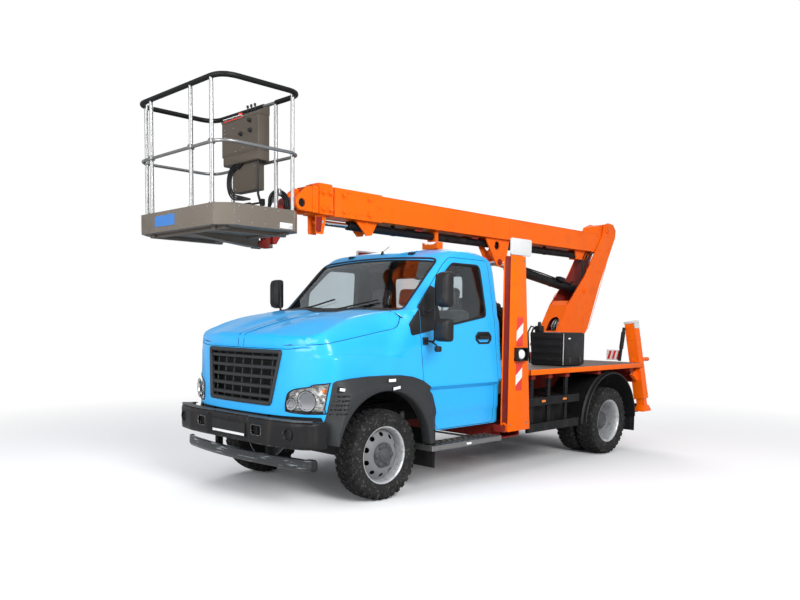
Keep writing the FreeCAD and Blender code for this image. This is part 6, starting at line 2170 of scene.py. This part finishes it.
def make_cylinders():
    way = (along_cylinder(1) - along_cylinder(0)).normalized()
    gland = Mesh()
    for start, end, radius in ((1.54, 1.605, 0.069), (0.04, 0.09, 0.068), (1.30, 1.32, 0.064),
                               (0.60, 0.62, 0.064)):
        gland.tube([along_cylinder(start), along_cylinder(end)], radius, 32)
    up = way.orthogonal().normalized()
    if up.z < 0:
        up = -up
    for spot in (0.22, 1.46):
        base = along_cylinder(spot) + up * 0.055
        gland.tube([base, base + up * 0.035], 0.020, 6)
        gland.tube([base + up * 0.035, base + up * 0.055, base + up * 0.060 - way * 0.03], 0.012, 10)
    gland.tube([along_cylinder(0.26) + up * 0.073, along_cylinder(0.9) + up * 0.080, along_cylinder(1.40)
                + up * 0.073], 0.009, 8)
    valve = rounded_block((-0.07, -0.035, -0.03), (0.07, 0.035, 0.03), 0.006)
    turn = way.to_track_quat("X", "Z").to_matrix()
    place = along_cylinder(0.48) + up * 0.085
    gland.add([tuple(place + turn @ Vector(p)) for p in valve.points], valve.faces)
    build("lift_cylinder_parts", gland, "frame_black", "lift_barrel", bevel=0.0015, segments=1)
    wiper = Mesh().tube([along_cylinder(1.872 - 0.04), along_cylinder(1.872)], 0.04, 24)
    build("lift_rod_neck", wiper, "rod_chrome", "lift_rod")


make_column()
make_column_hoses()
make_slew_ring()
make_collar()
make_boom_head()
make_boom_seams()
make_boom_fittings()
make_head_hoses()
make_cylinders()


# ---------------------------------------------------------------- basket
BASKET_X = (2.680, 3.500)
BASKET_HALF = 0.700
TRAY_Z = (2.345, 2.515)
RAIL_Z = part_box("basket")[1].z - 0.018
MID_Z = 2.985
POSTS = ((3.480, 0.540), (3.480, 0.234), (3.480, -0.415), (3.420, -0.620), (2.760, 0.620), (2.700, 0.308),
         (2.700, -0.357), (2.760, -0.620))
BEHIND = BASKET_X[0] + 0.044


CORNER_CUT = 0.120  # how much the tray's corners take off each side


def octagon(inset):
    """The tray's outline, moved inward."""
    (x0, x1), h, c = BASKET_X, BASKET_HALF - inset, CORNER_CUT + inset * 0.41
    x0, x1 = x0 + inset, x1 - inset
    return [(x0 + c, h), (x1 - c, h), (x1, h - c), (x1, -h + c), (x1 - c, -h), (x0 + c, -h), (x0, -h + c),
            (x0, h - c)]


def rail_path(inset, z, radius=0.16, steps=10):
    (x0, x1), h = BASKET_X, BASKET_HALF - inset
    return [(x, y, z) for x, y in rounded_rectangle(x0 + inset, h, x1 - inset, -h, radius, steps)]


def cut_path(path, keep):
    """The open run of a closed path whose points satisfy the test, starting after the gap."""
    n = len(path)
    start = next(i for i in range(n) if keep(path[i]) and not keep(path[i - 1]))
    run = []
    for k in range(n):
        p = path[(start + k) % n]
        if not keep(p):
            break
        run.append(p)
    return run


def rivets(mesh, spots, axis, radius=0.007):
    for spot in spots:
        mesh.lathe([(0, 0.0005), (0, radius), (0.003, 0.005), (0.004, 0.0005)], spot, axis, 10)
    return mesh


def make_tray():
    (x0, x1), (z0, z1), h, c = BASKET_X, TRAY_Z, BASKET_HALF, CORNER_CUT
    levels = ((0.0, z0), (0.0, z1), (0.026, z1), (0.026, z1 - 0.004), (0.005, z1 - 0.004),
              (0.005, z0 + 0.004), (0.0, z0))
    tray = Mesh().loft([[(x, y, z) for x, y in octagon(inset)] for inset, z in levels], caps=False)
    tray.prism(octagon(0.001), "Z", z0, z0 + 0.008)
    for y in (h - c, -h + c):
        tray.box((x1 - 0.001, y - 0.002, z0 + 0.002), (x1 + 0.0012, y + 0.002, z1 - 0.002))
    for x in (x1 - c, x0 + c):
        tray.box((x - 0.002, h - 0.001, z0 + 0.002), (x + 0.002, h + 0.0012, z1 - 0.002))
    build("basket_tray", tray, "basket_grey", "basket", bevel=0.0015, segments=1, replaces=["basket"])
    # Thin plates over the four chamfered corners in a lighter grey: painted highlight on the chamfer faces.
    corners = Mesh()
    for sx, sy in ((1, 1), (1, -1), (-1, 1), (-1, -1)):
        far = x1 if sx > 0 else x0
        a = Vector((far, sy * (h - c - 0.004), 0))
        b = Vector((far - sx * (c + 0.004), sy * h, 0))
        out = Vector((sx, sy, 0)).normalized() * 0.0016
        ring = [a + out, b + out, b - out, a - out]
        corners.loft([[(p.x, p.y, z) for p in ring] for z in (z0 + 0.001, z1 - 0.001)])
    build("tray_corners", corners, "corner_grey", "basket")
    heights = (z0 + 0.03, z1 - 0.025)
    studs = rivets(Mesh(), [(x, h, z) for x in np.linspace(x0 + 0.16, x1 - 0.16, 5) for z in heights], "Y")
    studs.joined(studs.mirrored())
    rivets(studs, [(x1, y, z) for y in np.linspace(-0.5, 0.5, 6) for z in heights], "X")
    build("tray_rivets", studs, "galvanised", "basket")
    panel = Mesh().box((x1 - 0.0005, -0.335, z0 + 0.045), (x1 + 0.0016, -0.005, z1 - 0.035))
    panel.box((2.82, h - 0.0005, z0 + 0.012), (2.95, h + 0.0015, z0 + 0.060), paint=1)
    build("blank_signs", panel, "sign_blue foot_grey", "basket", bevel=0.0006, segments=1)
    floor = Mesh()
    for i in range(12):
        for j in range(7):
            x, y = 2.75 + j * 0.112, -0.60 + i * 0.109
            for k in (-1, 1):
                reach = 0.016 * math.sqrt(0.5)
                floor.tube([(x + 0.028 * k - reach, y - reach * k, z0 + 0.008),
                            (x + 0.028 * k + reach, y + reach * k, z0 + 0.008)], 0.003, 6)
    build("tray_tread", floor, "galvanised", "basket")


def make_rails():
    z0, z1 = TRAY_Z
    posts = Mesh()
    for x, y in POSTS:
        posts.tube([(x, y, z0 + 0.01), (x, y, RAIL_Z)], 0.0165, 20)
        posts.lathe([(0, 0.026), (0.008, 0.026), (0.010, 0.022), (0.010, 0.018)], (x, y, z1 - 0.002), "Z",
                    20)
        posts.lathe([(-0.02, 0.019), (0.02, 0.019)], (x, y, MID_Z), "Z", 16)
    for x, y in POSTS[:4]:
        posts.joined(rounded_block((x - 0.022, y - 0.022, MID_Z - 0.02),
                                   (x + 0.022, y + 0.022, MID_Z + 0.02), 0.006))
    posts.tube(rail_path(0.020, MID_Z), 0.0135, 14, closed=True, up=(0, 0, 1))
    top = rail_path(0.020, RAIL_Z)
    posts.tube(top, 0.0150, 14, closed=True, up=(0, 0, 1))
    build("basket_tubes", posts, "galvanised", "basket")
    pad = cut_path(dense(top, 0.03), lambda p: not (p[0] < 2.72 and 0.16 < p[1] < 0.285))
    padding = Mesh().tube(pad, 0.0215, 16, up=(0, 0, 1))
    build("rail_padding", padding, "pad_black", "basket", crease=60)


def make_support():
    z0 = TRAY_Z[0]
    pivot = 2.590
    frame_mesh = Mesh().tube([(pivot, 0, 2.262), (pivot, 0, 2.590)], 0.025, 24)
    frame_mesh.lathe([(0, 0.046), (0.026, 0.046)], (pivot, 0, 2.566), "Z", 28)
    frame_mesh.box((pivot, -0.045, 2.566), (BASKET_X[0] + 0.012, 0.045, 2.592))
    frame_mesh.box((BASKET_X[0], -0.045, z0), (BASKET_X[0] + 0.020, 0.045, 2.592))
    for y in (-0.056, 0.048):
        frame_mesh.prism([(pivot - 0.04, 2.262), (pivot - 0.04, 2.292), (2.70, 2.292), (2.70, z0 + 0.002),
                          (3.35, z0 + 0.002), (3.35, 2.320), (2.76, 2.262)], "Y", y, y + 0.008)
    frame_mesh.prism([(pivot - 0.04, 2.262), (2.76, 2.262), (3.35, 2.320), (3.35, 2.326), (2.76, 2.268),
                      (pivot - 0.04, 2.268)], "Y", -0.056, 0.056)
    build("basket_support", frame_mesh, "basket_grey", "basket", bevel=0.002, segments=1)
    beams = Mesh()
    for y in (-0.52, 0.46):
        beams.box((2.74, y, 2.313), (3.44, y + 0.05, z0))
    for x in (2.78, 3.36):
        beams.box((x, -0.60, 2.322), (x + 0.05, 0.60, z0))
    build("basket_beams", beams, "basket_grey", "basket", bevel=0.003, segments=1)
    end = Mesh()
    for y in (-0.075, 0.063):
        end.prism([(2.60, 2.255), (2.70, 2.255), (2.72, 2.30), (2.66, 2.335), (2.60, 2.335)], "Y", y,
                  y + 0.012)
    build("support_ends", end, "red_paint", "basket", bevel=0.003)


CONTROL_X = (BEHIND, 2.842)
CONTROL_Y = (-0.320, 0.250)
CONTROL_Z = (3.070, RAIL_Z - 0.030)


def make_control_box():
    (x0, x1), (y0, y1), (z0, z1) = CONTROL_X, CONTROL_Y, CONTROL_Z
    case = rounded_block((x0, y0, z0), (x1, y1, z1 - 0.055), 0.008)
    case.prism([(x0, z1 - 0.075), (x1 + 0.004, z1 - 0.075), (x1 + 0.004, z1 - 0.06), (x0 + 0.02, z1),
                (x0, z1)], "Y", y0 - 0.004, y1 + 0.004)
    case.box((x1, y0 + 0.02, z0 + 0.02), (x1 + 0.0025, y1 - 0.02, z1 - 0.085))
    case.joined(rounded_block((x0, -0.190, 2.745), (2.806, 0.170, z0 + 0.004), 0.006))
    case.prism([(x1 - 0.002, z0 + 0.002), (x1 - 0.002, z0 - 0.07), (x1 - 0.012, z0 - 0.08), (x0, z0 - 0.08),
                (x0, z0 + 0.002)], "Y", -0.30, 0.245)
    for y in (-0.260, 0.160):
        case.box((2.683, y, RAIL_Z - 0.046), (2.730, y + 0.03, RAIL_Z - 0.020))
        case.box((2.712, y, MID_Z - 0.006), (2.728, y + 0.03, MID_Z + 0.006))
    build("control_cabinet", case, "box_tan", "basket", bevel=0.0015, segments=1, replaces=["control_box"])


def make_controls():
    x1, z1 = CONTROL_X[1], CONTROL_Z[1]
    knobs = Mesh()
    for y, z in ((0.130, 3.335), (0.140, 3.250), (-0.005, 3.240)):
        knobs.lathe([(0, 0.020), (0.010, 0.020), (0.013, 0.016), (0.013, 0.014), (0.026, 0.014),
                     (0.030, 0.010), (0.030, 0.0005)], (x1 + 0.002, y, z), "X", 20)
    for k in range(3):
        y = 0.04 + k * 0.055
        knobs.tube([(x1 - 0.04, y, z1 - 0.03), (x1 - 0.035, y, z1 + 0.025)], 0.006, 8)
        knobs.lathe([(0, 0.011), (0.018, 0.011), (0.022, 0.006)], (x1 - 0.035, y, z1 + 0.012), "Z", 12)
    build("control_knobs", knobs, "black_plastic", "basket", bevel=0.001, segments=1)
    marks = Mesh().box((x1 - 0.045, -0.290, z1 - 0.048), (x1 + 0.0055, -0.015, z1 - 0.042), paint=1)
    marks.box((x1 + 0.004, -0.28, z1 - 0.071), (x1 + 0.006, 0.02, z1 - 0.062))
    marks.lathe([(0, 0.018), (0.012, 0.018), (0.020, 0.024), (0.028, 0.018), (0.030, 0.0005)],
                (x1 - 0.03, -0.06, z1 - 0.045), "Z", 20)
    build("control_marks", marks, "stripe_red stripe_white", "basket", bevel=0.0006, segments=1)
    spots = [(x1 + 0.002, -0.27, 3.31 - k * 0.032) for k in range(4)]
    spots += [(x1 + 0.002, y, z) for y, z in ((-0.13, 3.31), (-0.10, 3.10), (-0.10, 3.18), (0.02, 3.12))]
    screws = rivets(Mesh(), spots, "X", 0.006)
    rivets(screws, [(2.806, y, z) for y, z in ((-0.16, 2.78), (0.14, 2.78), (-0.16, 2.95), (0.14, 2.95))],
           "X")
    build("control_screws", screws, "galvanised", "basket")


def make_basket_cables():
    cables = Mesh()
    for k in range(3):
        x = 2.815 + 0.007 * k
        loop = [(x, y, z) for y, z in arc((-0.115, 2.84), 0.105 + 0.016 * k, 75, 262, 16, (1, 1.15))]
        path = [(x, -0.02 - 0.01 * k, 3.00)] + loop + [(2.80, -0.05, 2.70 - 0.012 * k), (2.77, 0.02, 2.68)]
        cables.tube(path, 0.0085, 10)
    cables.tube([(2.81, 0.200, 3.00), (2.822, 0.215, 2.86), (2.815, 0.205, 2.70), (2.76, 0.19, 2.58),
                 (2.70, 0.15, 2.53)], 0.011, 10)
    build("control_cables", cables, "black_plastic", "basket")
    strut = Mesh().tube([(2.745, -0.30, 2.640), (2.745, -0.02, 2.640)], 0.020, 18)
    strut.tube([(2.745, -0.02, 2.640), (2.745, 0.16, 2.640)], 0.009, 12)
    for y0, y1 in ((0.15, 0.19), (-0.33, -0.29)):
        strut.joined(rounded_block((2.728, y0, 2.61), (2.762, y1, 2.67), 0.006))
    build("gate_strut", strut, "frame_black", "basket")


make_tray()
make_rails()
make_support()
make_control_box()
make_controls()
make_basket_cables()


# ---------------------------------------------------------------- carried CAD nodes
CARRIED = {
    "cab_glass": "glass", "seats": "seat_fabric", "spare_wheel": "tyre_rubber", "deck": "deck_steel",
    # The subframe's dark red is partly painted shade on its faces under the deck.
    "subframe": "red_paint", "front_axle": "iron", "rear_axle": "iron", "engine_block": "iron",
    "lower_bar": "chrome_dark", "front_bumper": "bumper_grey",
}


def finish_carried():
    slots = {part["node"]: part["material_slot"] for part in frame["record"]["subparts"]}
    for name, node in NODES.items():
        material = MATERIALS[CARRIED.get(name, slots[name])]
        if node.material_slots:
            for place in node.material_slots:
                place.material = material
        else:
            node.data.materials.append(material)


finish_carried()
